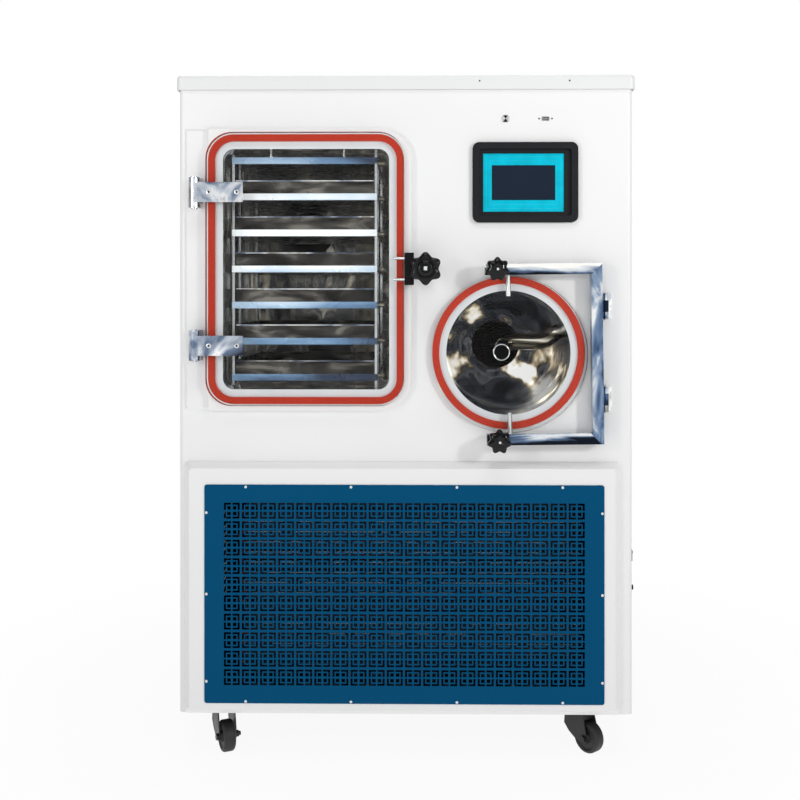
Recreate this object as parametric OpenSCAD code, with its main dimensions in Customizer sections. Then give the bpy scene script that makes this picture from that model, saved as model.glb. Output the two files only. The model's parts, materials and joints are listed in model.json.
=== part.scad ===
// Pilot-size vacuum freeze dryer: a caster-mounted cabinet with a shelf chamber behind a
// clear hinged door and a round cold trap behind a clear disc carried by a swinging yoke.
// X runs across the front, Z is up, and the front faces -Y. The origin is on the floor
// under the middle of the whole machine.

/* [Cabinet] */
// Width over the side panels
cabinet_w = 1088; // [1080:2:1120]
// Depth from the front panel to the rear panel
cabinet_d = 850; // [830:5:950]
// Height from the floor to the top of the cap
total_h = 1645; // [1620:5:1700]
// Height of the panels' lower edge above the floor
ground_gap = 114; // [112:1:130]
// Thickness of the sheet-metal panels
sheet = 2; // [1.5:0.25:2.5]
// Radius of the upright front corners
corner_r = 12; // [8:1:16]
// Depth of the front panel's side returns
return_d = 60; // [50:1:80]
// Height of the cap's skirt
cap_h = 35; // [30:1:45]
// How far the cap stands out past the panels
cap_reach = 6; // [5:0.5:9]
// Thickness of the cap
cap_t = 3; // [2.5:0.25:3.5]
// Radius of the cap's upper edge
cap_edge_r = 8; // [5:0.5:9]
// Radius of the upright corners of the cap
cap_corner_r = 12; // [11:0.25:12.5]
// Length of a vent slot
vent_l = 120; // [80:5:150]
// Height of a vent slot
vent_h = 8; // [6:0.5:10]

/* [Frame inside] */
// Height of the base pan's upturned edges
pan_h = 44; // [36:1:45]
// Thickness of the base pan
pan_t = 3; // [2:0.5:4]
// Side of the square frame tubes
tube_side = 30; // [25:1:34]
// Distance from the top of the cap down to the deck's top face
deck_drop = 890; // [887:1:897]
// Distance from the panels' sides to the frame tubes
frame_inset = 14; // [13:0.5:16]

/* [Chamber] */
// Chamber centre, measured from the middle of the front
chamber_x = -236; // [-238:1:-234]
// Distance from the top of the cap down to the chamber centre
chamber_drop = 466; // [460:1:475]
// Width of the chamber's mouth
opening_w = 396; // [390:1:400]
// Height of the chamber's mouth
opening_h = 572; // [568:1:576]
// Corner radius of the chamber's mouth
opening_r = 26; // [18:1:36]
// Depth of the chamber behind the front panel
chamber_d = 560; // [520:5:600]
// Thickness of the chamber's walls
shell_t = 3; // [2:0.5:5]
// Width of the flange round the mouth
flange_w = 34; // [28:1:36]
// Thickness of the flange
flange_t = 12; // [8:1:14]
// How far the flange's face stands in front of the panel
flange_proud = 22; // [20:1:24]
// Width of the gasket
gasket_w = 16; // [12:1:20]
// Thickness of the gasket
gasket_t = 8; // [6:0.5:10]
// Bezel: reach to the left, from the chamber centre
bezel_left = 238; // [236:1:240]
// Bezel: reach to the right, from the chamber centre
bezel_right = 252; // [246:1:254]
// Bezel: reach above and below the chamber centre
bezel_tall = 338; // [330:1:345]
// Bezel: height of its face above the front panel
bezel_proud = 18; // [14:1:20]
// Bezel: width of its sloped edge
bezel_slope = 4; // [2:0.5:6]
// Bezel: radius of its two right corners
bezel_r = 79; // [60:1:90]
// Hinge pad: distance of its left edge from the chamber centre
pad_left = 294; // [288:1:296]
// Hinge pad: height above the front panel
pad_proud = 5; // [3:0.5:6]

/* [Shelves and trays] */
// Number of shelf plates, the top cover plate included
shelf_count = 7; // [7:1:7]
// Distance from one shelf to the next
shelf_pitch = 88; // [86:0.5:90]
// Thickness of a shelf
shelf_t = 16; // [12:1:18]
// Width over the shelves
shelf_w = 354; // [346:1:356]
// Depth of a shelf
shelf_d = 392; // [380:2:400]
// How far the shelves' front edges sit behind the front panel
shelf_setback = 38; // [34:1:44]
// Distance from the chamber's left wall to the shelves
shelf_gap = 11; // [9:0.5:14]
// Thickness of the rack's upright bars
post_t = 6; // [4:0.5:7]
// Depth of the rack's upright bars
post_d = 20; // [16:1:24]
// Height of a tray
tray_h = 33; // [25:1:38]
// Wall thickness of a tray
tray_t = 1.5; // [1:0.25:2]

/* [Chamber door] */
// Thickness of the clear door
door_t = 20; // [16:1:24]
// How far the door reaches past the flange
door_lap = 3; // [2:0.5:3.5]
// Distance from the chamber centre to the hinge axis
hinge_reach = 263; // [261:0.5:266]
// Radius of the hinge barrels
barrel_r = 13; // [11:0.5:13]
// Height of the middle knuckle and the door leaf
leaf_h = 47; // [40:1:50]
// Height of each outer knuckle
knuckle_h = 12; // [10:1:14]
// Thickness of the door leaf
leaf_t = 3; // [2:0.5:4]
// Length of the door leaf from the hinge axis
leaf_l = 117; // [100:1:120]
// Height of the hinges above and below the chamber centre
hinge_offset = 181; // [170:1:190]
// Radius of the door's hinge pins
pin_r = 5; // [4:0.5:6]
// Width of the latch block
latch_w = 22; // [20:1:24]
// Height of the latch block
latch_h = 76; // [64:1:84]
// Depth of the latch block
latch_d = 28; // [24:1:30]
// Distance from the door's edge to the knob's axis
latch_reach = 49; // [44:1:52]

/* [Clamp knobs] */
// Radius of the clamp screws
stud_r = 6; // [5:0.5:6.5]
// Travel of a clamp screw
stud_travel = 10.5; // [8:0.5:11]
// Outer radius of the clamp washers
washer_r = 14; // [12:0.5:16]
// Thickness of the clamp washers
washer_t = 3; // [2:0.5:4]
// Tip radius of the chamber door's knob
big_knob_r = 39; // [35:0.5:40]
// Thickness of the chamber door's knob
big_knob_h = 38; // [32:1:42]
// Tip radius of the two yoke knobs
small_knob_r = 29; // [25:0.5:30]
// Thickness of the two yoke knobs
small_knob_h = 30; // [24:1:32]
// Outer radius of the threaded bushes in the front panel
bush_r = 13; // [11:0.5:14]

/* [Cold trap] */
// Trap centre, measured from the middle of the front
trap_x = 246; // [244:1:248]
// Distance from the top of the cap down to the trap centre
trap_drop = 665; // [663:1:669]
// Radius of the trap's mouth
trap_r = 148; // [144:1:150]
// Thickness of the trap's wall
trap_t = 2.5; // [2:0.25:4]
// Outer radius of the trap's flange
trap_flange_r = 181.5; // [179:0.5:183]
// Thickness of the trap's flange
trap_flange_t = 10; // [8:0.5:11]
// Width of the trap's gasket
trap_gasket_w = 16.5; // [14:0.5:18]
// Thickness of the trap's gasket
trap_gasket_t = 6; // [5:0.5:7]
// Depth of the trap's straight wall behind the front panel
trap_d = 340; // [320:5:360]
// Depth of the trap's dished end
dish_d = 85; // [75:1:90]
// Radius of the vapour port in the trap's dished end
port_r = 67; // [60:1:70]
// Outer radius of the suction pipe
pipe_r = 20; // [18:0.5:20]
// Wall of the suction pipe
pipe_t = 1.5; // [1.5:0.25:2.5]
// How far the suction pipe stands out of the rear panel
pipe_out = 30; // [20:1:40]

/* [Yoke door] */
// Radius of the clear trap door
disc_r = 185.5; // [184.5:0.5:186.5]
// Thickness of the clear trap door
disc_t = 24; // [20:1:25]
// Side of the yoke's square tube
yoke_side = 26; // [25:0.5:27]
// Height of each yoke arm's axis above or below the trap centre
arm_offset = 201; // [201:0.5:205]
// Sag of the yoke on its hinges, in degrees: its left tips hang low
yoke_sag = 0.7; // [0:0.1:1]
// Distance from the trap centre to the yoke's left tips
yoke_left = 55; // [50:1:60]
// Distance from the trap centre to the yoke's right face
yoke_right = 221; // [220:0.5:222]
// Distance from the yoke's left tips to the knobs' axes
knob_inset = 27; // [24:1:30]
// Radius of the pivot pins that carry the disc
pivot_r = 6.2; // [5:0.1:6.5]
// Depth of the pivot pins in the disc
pivot_in = 48; // [40:1:52]
// Distance of the yoke's hinges above and below the trap centre
yoke_hinge_offset = 111; // [100:1:120]
// Height of a yoke hinge
yoke_hinge_h = 59; // [50:1:64]
// Radius of the yoke hinges' barrels
yoke_barrel_r = 7; // [6:0.5:7]
// Radius of the yoke hinges' pins
yoke_pin_r = 3; // [2.5:0.25:3.5]

/* [Lower front] */
// Cover: distance from the left side to its left edge
cover_in_left = 14; // [13:1:18]
// Cover: distance from the right side to its right edge
cover_in_right = 30; // [24:1:34]
// Cover: distance from the top of the cap down to its upper edge
cover_drop = 927; // [921:1:935]
// Cover: height of its face above the front panel
cover_proud = 20; // [16:1:24]
// Cover: width of its sloped edge
cover_slope = 14; // [8:1:16]
// Grille: distance from the cover's left edge
grille_in_left = 51; // [46:1:56]
// Grille: distance from the cover's right edge
grille_in_right = 41; // [36:1:46]
// Grille: distance from the cover's upper edge
grille_in_top = 52.5; // [48:0.5:56]
// Grille: distance from the cover's lower edge
grille_in_low = 30.5; // [26:0.5:34]
// Grille: least plain border round the fretwork
fret_border = 36; // [30:1:60]
// Grille: distance between fretwork columns
fret_pitch_x = 43.7; // [42:0.1:44]
// Grille: distance between fretwork rows
fret_pitch_z = 44.3; // [42:0.1:45]
// Grille: side of one fretwork square
fret_side = 38; // [34:0.5:40]
// Grille: width of the fretwork slots
fret_slot = 5; // [4:0.25:6]

/* [Controls] */
// Screen bezel: width
screen_w = 252; // [244:1:260]
// Screen bezel: height
screen_h = 192; // [186:1:200]
// Screen bezel: centre, measured from the middle of the front
screen_x = 287; // [280:1:294]
// Screen bezel: distance from the top of the cap down to its centre
screen_drop = 258; // [252:1:266]
// Screen bezel: how far it stands out
screen_proud = 10; // [6:1:14]
// Screen bezel: width of its raised rim
screen_rim = 16; // [12:1:18]
// Touch panel: margin between it and the raised rim, left and right
panel_margin_x = 13; // [8:1:14]
// Touch panel: margin between it and the raised rim, above and below
panel_margin_z = 10; // [6:1:12]
// Touch panel: how far it sits to the left of the bezel's middle
panel_shift = 3.5; // [0:0.5:5]
// Touch panel: how far its face sits behind the front panel's face
panel_face = 2; // [1:0.5:3]
// Push button: distance from the middle of the front
button_x = 240; // [230:1:250]
// Push button and data port: distance down from the top of the cap
button_drop = 105; // [95:1:115]
// Push button: radius of its collar
collar_r = 9.5; // [9:0.5:11]
// Push button: radius of its plunger
plunger_r = 6.2; // [5:0.1:6.4]
// Push button: travel
button_travel = 2; // [1.5:0.25:2.5]
// Data port: distance from the middle of the front
data_x = 336; // [328:1:344]
// Power switch: height of its centre
switch_z = 491; // [470:1:520]
// Power switch: height of its frame
switch_h = 27; // [26:0.5:30]
// Power switch: width of its frame
switch_w = 22; // [21:0.5:24]
// Fuse holder: height of its centre
fuse_z = 412; // [390:1:430]
// Fuse holder: radius of its cap
fuse_r = 6; // [5:0.5:7]

/* [Machinery] */
// Condenser: distance from the left side to its fin block
coil_in_left = 154; // [150:1:170]
// Condenser: distance from the right side to its fin block
coil_in_right = 118; // [110:1:140]
// Condenser: distance from the cover's upper edge down to its fin block
coil_drop = 71; // [68:1:90]
// Condenser: depth of its fin block
coil_d = 40; // [30:1:50]
// Condenser: distance between tube rows
coil_pitch = 25; // [22:0.5:30]
// Condenser: radius of its tubes
coil_tube_r = 4.8; // [4:0.2:5]
// Fan: distance from its blade tips to the fin block's upper and lower edges
fan_margin = 52; // [46:1:70]
// Fan: number of blades
fan_blades = 5; // [4:1:7]
// Compressors: radius of their shells
compressor_r = 88; // [80:1:95]
// Compressors: height of their shells
compressor_h = 230; // [200:1:260]
// Compressors: distance of their axes behind the front panel
compressor_y = 560; // [480:5:620]
// Cable gland: distance from the left side
gland_in = 144; // [120:1:200]
// Cable gland: height above the floor
gland_z = 300; // [250:5:400]

/* [Casters] */
// Radius of the wheels
wheel_r = 37.5; // [35:0.5:40]
// Width of the wheels
wheel_w = 30; // [26:1:32]
// Distance from a swivel axis to its wheel's axle
caster_trail = 32; // [28:1:36]
// Distance from the left side to the left casters
caster_in_left = 92; // [85:1:110]
// Distance from the right side to the right casters
caster_in_right = 116; // [85:1:120]
// Distance from the front and rear panels to the casters
caster_in_y = 80; // [78:1:100]
// Heading of the left wheels, turned from straight ahead
heading_left = 25; // [0:1:45]
// Heading of the right wheels, turned from straight ahead
heading_right = 40; // [0:1:45]

/* [Hidden] */
$fn = 64;
clear = 0.3;
fit_gap = 0.06;
eps = 0.01;
tray_count = shelf_count - 1;
tray_nodes = [for (i = [1:tray_count]) str("tray_", i)];
corner_names = ["front_left", "front_right", "rear_left", "rear_right"];
fork_nodes = [for (n = corner_names) str(n, "_fork")];
wheel_nodes = [for (n = corner_names) str(n, "_wheel")];

// Overall reach, and where the front panel's face lies
tongue_back = 30;
tongue_t = 14;
tongue_front = tongue_back + tongue_t;
big_knob_back = tongue_front + stud_travel + clear + washer_t;
stud_end = 4;
front_reach = big_knob_back + big_knob_h + stud_end;
total_d = front_reach + cabinet_d + pipe_out;
y_front = front_reach - total_d / 2;

// Panels
half_w = cabinet_w / 2;
panel_top = total_h - cap_t;
panel_h = panel_top - ground_gap;
deck_z = total_h - deck_drop;
rear_y = cabinet_d - sheet;
hem = frame_inset - sheet - clear;
hem_z = ground_gap + pan_h + 1;
vent_rows = 12;
vent_z = ground_gap + 240;
vent_pitch = 22;

// Frame
frame_x = half_w - frame_inset - tube_side;
frame_front = sheet + clear + pan_t + 1;
frame_rear = rear_y - clear - pan_t - 1 - tube_side;
floor_z = ground_gap + pan_t;
beam_reach = 164;
chamber_beams = [chamber_x - beam_reach, chamber_x + beam_reach];
trap_beams = [trap_x - 65, trap_x + 65];
saddle_t = 20;
saddle_w = 180;
saddle_ys = [80, 280];
pedestal_ys = [60, chamber_d - 60];

// Chamber
chamber_z = total_h - chamber_drop;
flange_size = [opening_w + 2 * flange_w, opening_h + 2 * flange_w];
flange_r = opening_r + flange_w;
door_back = flange_proud + gasket_t;
door_front = door_back + door_t;
door_size = [flange_size[0] + 2 * door_lap, flange_size[1] + 2 * door_lap];
door_edge = chamber_x + door_size[0] / 2;
chamber_left = chamber_x - opening_w / 2;
chamber_bottom = chamber_z - opening_h / 2;
chamber_top = chamber_z + opening_h / 2;
chamber_back = chamber_d + shell_t;

// Shelves, numbered from the top
shelf_x0 = chamber_left + shelf_gap;
shelf_top_z = chamber_top - 20;
post_ys = [shelf_setback + 4, shelf_setback + 94, shelf_setback + shelf_d - post_d - 6];
tray_w = shelf_w - 2 * post_t - 2 * clear - 4;
tray_d = shelf_d - 14;
manifold_w = 58;
manifold_d = 30;
manifold_x = shelf_x0 + shelf_w - manifold_w - 20;
manifold_y = shelf_setback + shelf_d + 20;
hose_r = 6;
hose_dip = 20;

// Door hinges and latch
hinge_x = chamber_x - hinge_reach;
hinge_p = door_front + leaf_t - barrel_r;
bracket_t = 4;
latch_back = door_back - 4;
knob_x = door_edge + latch_reach;
knob_z = chamber_z;
chamber_bush_h = 24;

// Trap and yoke
trap_z = total_h - trap_drop;
disc_back = trap_flange_t + trap_gasket_t;
seat_film = 0.02;
yoke_mid = disc_back + disc_t / 2;
yoke_back = yoke_mid - yoke_side / 2;
yoke_front = yoke_mid + yoke_side / 2;
trap_bush_h = yoke_back - 1.5;
trap_knob_x = trap_x - yoke_left + knob_inset;
trap_knob_back = yoke_front + stud_travel + clear + washer_t;
yoke_hinge_x = trap_x + yoke_right + yoke_barrel_r + 4;
yoke_leaf_w = 15;
yoke_leaf_t = 3;
yoke_hinge_p = yoke_barrel_r + yoke_leaf_t + clear;
middle_part = 0.48;
yoke_link = 3;
// Where the yoke's upper (s = 1) or lower (s = -1) knob stands, as [x, z]
function trap_knob_at(s) = let (dx = trap_knob_x - yoke_hinge_x, dz = s * arm_offset) [
    yoke_hinge_x + dx * cos(yoke_sag) - dz * sin(yoke_sag),
    trap_z + dx * sin(yoke_sag) + dz * cos(yoke_sag)];
pivot_seat = 12;
pipe_exit = [(trap_x + trap_r + trap_t + frame_x) / 2, trap_z + 49];
sleeve_r = pipe_r + 1.2;
sleeve_l = 60;
port_flange_r = 27.5;
pipe_y = 100;
trap_outer = trap_r + trap_t;
port_y = trap_d + dish_d * sqrt(1 - pow(port_r / trap_r, 2));
port_y_out = trap_d + (dish_d + trap_t) * sqrt(1 - pow(port_r / trap_outer, 2));

// Lower front
cover_x = (cover_in_left - cover_in_right) / 2;
cover_w = cabinet_w - cover_in_left - cover_in_right;
cover_top = total_h - cover_drop;
cover_h = cover_top - ground_gap;
grille_x = cover_x + (grille_in_left - grille_in_right) / 2;
grille_w = cover_w - grille_in_left - grille_in_right;
grille_z = ground_gap + (cover_h + grille_in_low - grille_in_top) / 2;
grille_h = cover_h - grille_in_top - grille_in_low;
grille_lip = 15;
grille_t = 2;
fret_cols = floor((grille_w - 2 * fret_border) / fret_pitch_x);
fret_rows = floor((grille_h - 2 * fret_border) / fret_pitch_z);

// Controls
screen_z = total_h - screen_drop;
button_z = total_h - button_drop;
rim_inner = [screen_w - 2 * screen_rim, screen_h - 2 * screen_rim];
panel_size = [rim_inner[0] - 2 * panel_margin_x, rim_inner[1] - 2 * panel_margin_z];
panel_back = 40;
glass_size = [152, 84];
button_depth = 18;
port_hole = [14, 7.5];
switch_y = 24;
switch_hole = [switch_w - 5, switch_h - 6];
rocker_tilt = 8;
rocker_in = 4;

// Machinery
coil_x = (coil_in_left - coil_in_right) / 2;
coil_w = cabinet_w - coil_in_left - coil_in_right;
coil_y = 74;
coil_z0 = ground_gap + 33;
coil_h = cover_top - coil_drop - coil_z0;
coil_rows = 2 * floor(coil_h / coil_pitch / 2);
fan_r = coil_h / 2 - fan_margin;
fan_y = coil_y + coil_d + 46;
fan_plate_border = 30;
fan_z = coil_z0 + coil_h / 2;
fan_t = 36;
motor_y = fan_y + fan_t + 14;
compressor_gap = 370;
compressor_x = -65;
foot_side = 220;
foot_t = 6;
buffer_r = 12;
buffer_h = 18;
saddle_side = 200;
duct_t = 2.5;
duct_r = port_r + duct_t;
gland_r = 16;
cable_bore_r = 9;
chamber_port = [chamber_x - 50, chamber_z + 116];

// Casters, below the base pan
race_r = 23;
race_h = 6;
head_t = 4;
kingpin_r = 6;
plate_side = 84;
caster_plate_t = 4;
head_top = ground_gap - caster_plate_t - race_h - clear;
fork_gap = wheel_w / 2 + 4;
leg_t = 3;
axle_r = 5;
bolt_head_t = 5;
nut_t = 7;
bolt_end = 5;
caster_headings = [heading_left, heading_right];
caster_xs = [-half_w + caster_in_left, half_w - caster_in_right];
caster_ys = [caster_in_y, cabinet_d - caster_in_y];

// Points of an arc about [cx, cy]
function arc(cx, cy, r, a0, a1, n) =
    [for (i = [0:n]) [cx + r * cos(a0 + (a1 - a0) * i / n), cy + r * sin(a0 + (a1 - a0) * i / n)]];

// Outline of a rectangle about the origin with round corners
function rounded(w, h, r, n = 8) = concat(
    arc(w / 2 - r, h / 2 - r, r, 0, 90, n),
    arc(r - w / 2, h / 2 - r, r, 90, 180, n),
    arc(r - w / 2, r - h / 2, r, 180, 270, n),
    arc(w / 2 - r, r - h / 2, r, 270, 360, n));

// Plan of the cap, drawn in from its outer edge
function cap_plan(inset) = rounded(
    cabinet_w + 2 * (cap_reach - inset), cabinet_d + 2 * (cap_reach - inset),
    cap_corner_r - inset, 6);

// Outline of the bezel: near-square corners on the left, large round ones on the right
function bezel_outline(inset) = let (
    x0 = -bezel_left + inset,
    x1 = bezel_right - inset,
    z1 = bezel_tall - inset,
    small = 4,
    big = bezel_r - inset) concat(
    arc(x1 - big, z1 - big, big, 0, 90, 12),
    arc(x0 + small, z1 - small, small, 90, 180, 3),
    arc(x0 + small, small - z1, small, 180, 270, 3),
    arc(x1 - big, big - z1, big, 270, 360, 12));

// Outline of a star knob: its radius swells and shrinks with each lobe
function star(r, lobes, depth, n = 10) =
    [for (i = [0:lobes * n - 1]) let (
        a = i * 360 / (lobes * n),
        swell = (1 + cos(lobes * a)) / 2,
        q = r - depth * (1 - swell)) [q * cos(a + 90), q * sin(a + 90)]];

// A smooth path through points, with straight first and last stretches
function spline_point(a, b, c, d, t) =
    b + 0.5 * (c - a) * t
    + (a - 2.5 * b + 2 * c - 0.5 * d) * pow(t, 2)
    + (1.5 * b - 0.5 * a - 1.5 * c + 0.5 * d) * pow(t, 3);
function smooth_path(p, n) = concat(
    [p[0]],
    [for (i = [1:len(p) - 3], k = [0:n - 1]) spline_point(p[i - 1], p[i], p[i + 1], p[i + 2], k / n)],
    [p[len(p) - 2], p[len(p) - 1]]);
function unit(v) = v / norm(v);
function tangent(p, i) =
    i == 0 ? unit(p[1] - p[0]) :
    i == len(p) - 1 ? unit(p[i] - p[i - 1]) :
    unit(unit(p[i + 1] - p[i]) + unit(p[i] - p[i - 1]));
// The first axis of each ring, carried along the path without twist
function square_to(u, t) = unit(u - (u * t) * t);
function ring_axes(p, start) =
    [for (i = 0, u = start; i < len(p); i = i + 1, u = i < len(p) ? square_to(u, tangent(p, i)) : u) u];
function ring(c, t, u, r, sides) = let (v = cross(t, u))
    [for (k = [0:sides - 1]) c + r * (cos(k * 360 / sides) * u + sin(k * 360 / sides) * v)];

// A closed skin through equal rings of points, the first and last ring filled
module loft(rings) {
    n = len(rings[0]);
    last = (len(rings) - 1) * n;
    walls = [for (i = [0:len(rings) - 2], k = [0:n - 1]) let (
        a = i * n + k,
        b = i * n + (k + 1) % n) [a, a + n, b + n, b]];
    caps = [[for (k = [0:n - 1]) k], [for (k = [n - 1:-1:0]) last + k]];
    polyhedron([for (r = rings) each r], concat(walls, caps), convexity = 6);
}

// A round bar along a path, with the path's first ring axis given
module sweep_bar(p, r, sides, start) {
    axes = ring_axes(p, start);
    loft([for (i = [0:len(p) - 1]) ring(p[i], tangent(p, i), axes[i], r, sides)]);
}

// A pipe along a path: one closed skin, outside, end rings and inside
module sweep_pipe(p, r, wall, sides, start) {
    axes = ring_axes(p, start);
    n = len(p);
    skin = function (q) [for (i = [0:n - 1]) each ring(p[i], tangent(p, i), axes[i], q, sides)];
    points = concat(skin(r), skin(r - wall));
    inner = n * sides;
    walls = [for (i = [0:n - 2], k = [0:sides - 1]) let (
        a = i * sides + k,
        b = i * sides + (k + 1) % sides) each [
        [a, a + sides, b + sides, b],
        [inner + a, inner + b, inner + b + sides, inner + a + sides]]];
    ends = [for (k = [0:sides - 1]) let (
        b = (k + 1) % sides,
        last = (n - 1) * sides) each [
        [k, b, inner + b, inner + k],
        [last + b, last + k, inner + last + k, inner + last + b]]];
    polyhedron(points, concat(walls, ends), convexity = 8);
}

// Moves a piece drawn from the front panel's face to its place in the machine
module placed() {
    translate([0, y_front, 0]) children();
}

// Raises a flat X-Z outline towards the front, from p0 to p1 in front of the panel's face
module proud(p0, p1) {
    translate([0, -p0, 0]) rotate([90, 0, 0]) linear_extrude(p1 - p0) children();
}

// A round bar that points to the front, from p0 to p1 in front of the panel's face
module peg(x, z, r, p0, p1) {
    translate([x, -p0, z]) rotate([90, 0, 0]) cylinder(r = r, h = p1 - p0);
}

// A flat-headed slot outline
module slot_2d(l, h) {
    polygon(rounded(l, h, h / 2 - eps, 4));
}

// Rows of vent slots in the X-Z plane
module vents(columns, rows, pitch_x) {
    for (c = [0:columns - 1], r = [0:rows - 1])
        translate([(c - (columns - 1) / 2) * pitch_x, (r - (rows - 1) / 2) * vent_pitch])
            slot_2d(vent_l, vent_h);
}

module base_pan() {
    w = cabinet_w - 2 * (sheet + clear);
    d = cabinet_d - 2 * (sheet + clear);
    color("dimgray") placed() {
        difference() {
            translate([0, cabinet_d / 2, ground_gap])
                linear_extrude(pan_h) polygon(rounded(w, d, corner_r, 4));
            translate([0, cabinet_d / 2, floor_z])
                linear_extrude(pan_h)
                    polygon(rounded(w - 2 * pan_t, d - 2 * pan_t, corner_r - pan_t, 4));
        }
        for (x = caster_xs, y = caster_ys) translate([x, y, 0]) {
            translate([-plate_side / 2, -plate_side / 2, ground_gap - caster_plate_t])
                cube([plate_side, plate_side, caster_plate_t]);
            translate([0, 0, ground_gap - caster_plate_t - race_h])
                cylinder(r = race_r, h = race_h);
            translate([0, 0, head_top - head_t - clear])
                cylinder(r = kingpin_r, h = race_h);
            translate([0, 0, head_top - head_t - clear - 5])
                cylinder(r = kingpin_r + 4, h = 5, $fn = 6);
        }
    }
}

module inner_frame() {
    beam_l = frame_rear - frame_front + tube_side;
    color("gray") placed() difference() {
        union() {
            for (x = [-frame_x - tube_side, frame_x], y = [frame_front, frame_rear])
                translate([x, y, floor_z]) cube([tube_side, tube_side, panel_top - floor_z]);
            for (z = [deck_z - tube_side, panel_top - tube_side]) {
                for (x = [-frame_x - tube_side, frame_x])
                    translate([x, frame_front, z]) cube([tube_side, beam_l, tube_side]);
                for (y = [frame_front, frame_rear])
                    translate([-frame_x - 1, y, z]) cube([2 * frame_x + 2, tube_side, tube_side]);
            }
            for (x = concat(chamber_beams, trap_beams))
                translate([x - tube_side / 2, frame_front, deck_z - tube_side])
                    cube([tube_side, beam_l, tube_side]);
            for (x = chamber_beams, y = pedestal_ys)
                translate([x - tube_side / 2, y, deck_z - 1])
                    cube([tube_side, tube_side, chamber_bottom - shell_t - deck_z + 1]);
            for (y = saddle_ys)
                translate([trap_x - saddle_w / 2, y, deck_z - 1])
                    cube([saddle_w, saddle_t, trap_z - 115 - deck_z]);
        }
        peg(trap_x, trap_z, trap_outer + clear, -frame_rear, 0);
    }
}

// U-shaped plan of the front panel: face, round corners and side returns
function front_plan() = let (
    w = half_w,
    r = corner_r,
    q = corner_r - sheet) concat(
    [[-w, return_d]],
    arc(r - w, r, r, 180, 270, 6),
    arc(w - r, r, r, 270, 360, 6),
    [[w, return_d], [w - sheet, return_d]],
    arc(w - r, r, q, 360, 270, 6),
    arc(r - w, r, q, 270, 180, 6),
    [[sheet - w, return_d]]);

module front_panel() {
    deep = 10;
    color("white") placed() difference() {
        translate([0, 0, ground_gap]) linear_extrude(panel_h) polygon(front_plan());
        translate([chamber_x, 0, chamber_z]) proud(-deep, deep)
            polygon(rounded(opening_w + 2 * shell_t + 4, opening_h + 2 * shell_t + 4, opening_r + 5));
        peg(trap_x, trap_z, trap_outer + 2, -deep, deep);
        translate([screen_x, 0, screen_z]) proud(-deep, deep)
            square([rim_inner[0] + 2, rim_inner[1] + 2], center = true);
        translate([grille_x, 0, grille_z]) proud(-deep, deep)
            square([grille_w - 2 * grille_lip, grille_h - 2 * grille_lip], center = true);
        peg(button_x, button_z, collar_r - 1.5 + fit_gap, -deep, deep);
        translate([data_x, 0, button_z]) proud(-deep, deep)
            square([port_hole[0] + 2 + 2 * clear, port_hole[1] + 2 + 2 * clear], center = true);
        peg(knob_x, knob_z, bush_r - 3 + clear, -deep, deep);
        for (s = [-1, 1]) let (at = trap_knob_at(s)) peg(at[0], at[1], bush_r - 3 + clear, -deep, deep);
        translate([half_w, switch_y, switch_z])
            cube([deep, switch_w - 2, switch_h - 2], center = true);
        translate([half_w - deep, switch_y, fuse_z]) rotate([0, 90, 0])
            cylinder(r = fuse_r - 1.5 + clear, h = 2 * deep);
    }
}

// Side panel: a flat sheet with a hem at each end and two banks of vent slots
module side_panel(side) {
    y0 = return_d + clear;
    y1 = rear_y - clear;
    x_out = half_w - sheet;
    color("white") placed() mirror([side < 0 ? 1 : 0, 0, 0]) {
        difference() {
            translate([x_out, y0, ground_gap]) cube([sheet, y1 - y0, panel_h]);
            translate([x_out + sheet / 2, (y0 + y1) / 2, vent_z]) rotate([90, 0, 90])
                linear_extrude(4 * sheet, center = true) vents(2, vent_rows, 2 * vent_l);
        }
        for (y = [y0, y1 - sheet])
            translate([x_out - hem, y, hem_z]) cube([hem + eps, sheet, panel_top - hem_z]);
    }
}

module rear_panel() {
    color("white") placed() difference() {
        translate([-half_w, rear_y, ground_gap]) cube([cabinet_w, sheet, panel_h]);
        translate([0, cabinet_d, vent_z])
            proud(-10, 10) vents(4, vent_rows, 1.5 * vent_l);
        peg(pipe_exit[0], pipe_exit[1], sleeve_r + clear, -cabinet_d - 10, -cabinet_d + 10);
        peg(gland_in - half_w, gland_z, gland_r + fit_gap, -cabinet_d - 10, -cabinet_d + 10);
    }
}

function at_height(plan, z) = [for (q = plan) [q[0], q[1], z]];

function at_height(plan, z) = [for (q = plan) [q[0], q[1], z]];

// Cap: a shallow pan turned over, with rounded upper edges
module top_cap() {
    steps = 4;
    inside = cap_plan(cap_t);
    color("whitesmoke") placed() translate([0, cabinet_d / 2, total_h - cap_h]) loft(concat(
        [at_height(inside, cap_h - cap_t), at_height(inside, 0), at_height(cap_plan(0), 0)],
        [for (i = [0:steps]) at_height(cap_plan(cap_edge_r * (1 - cos(90 * i / steps))),
            cap_h - cap_edge_r * (1 - sin(90 * i / steps)))]));
}

// Lower cover: a raised pan with sloped edges and a window behind the grille
module lower_cover() {
    skin = 2;
    color("white") placed() translate([cover_x, 0, ground_gap + cover_h / 2]) difference() {
        hull() {
            proud(0, 4) polygon(rounded(cover_w, cover_h, 10, 4));
            proud(cover_proud - 1, cover_proud)
                polygon(rounded(cover_w - 2 * cover_slope, cover_h - 2 * cover_slope, 8, 4));
        }
        hull() {
            proud(-1, 4) polygon(rounded(cover_w - 2 * skin, cover_h - 2 * skin, 8, 4));
            proud(cover_proud - skin - 1, cover_proud - skin)
                polygon(rounded(cover_w - 2 * cover_slope, cover_h - 2 * cover_slope, 8, 4));
        }
        translate([grille_x - cover_x, 0, grille_z - ground_gap - cover_h / 2])
            proud(0, cover_proud + 1)
                square([grille_w - 2 * grille_lip, grille_h - 2 * grille_lip], center = true);
    }
}

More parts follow.
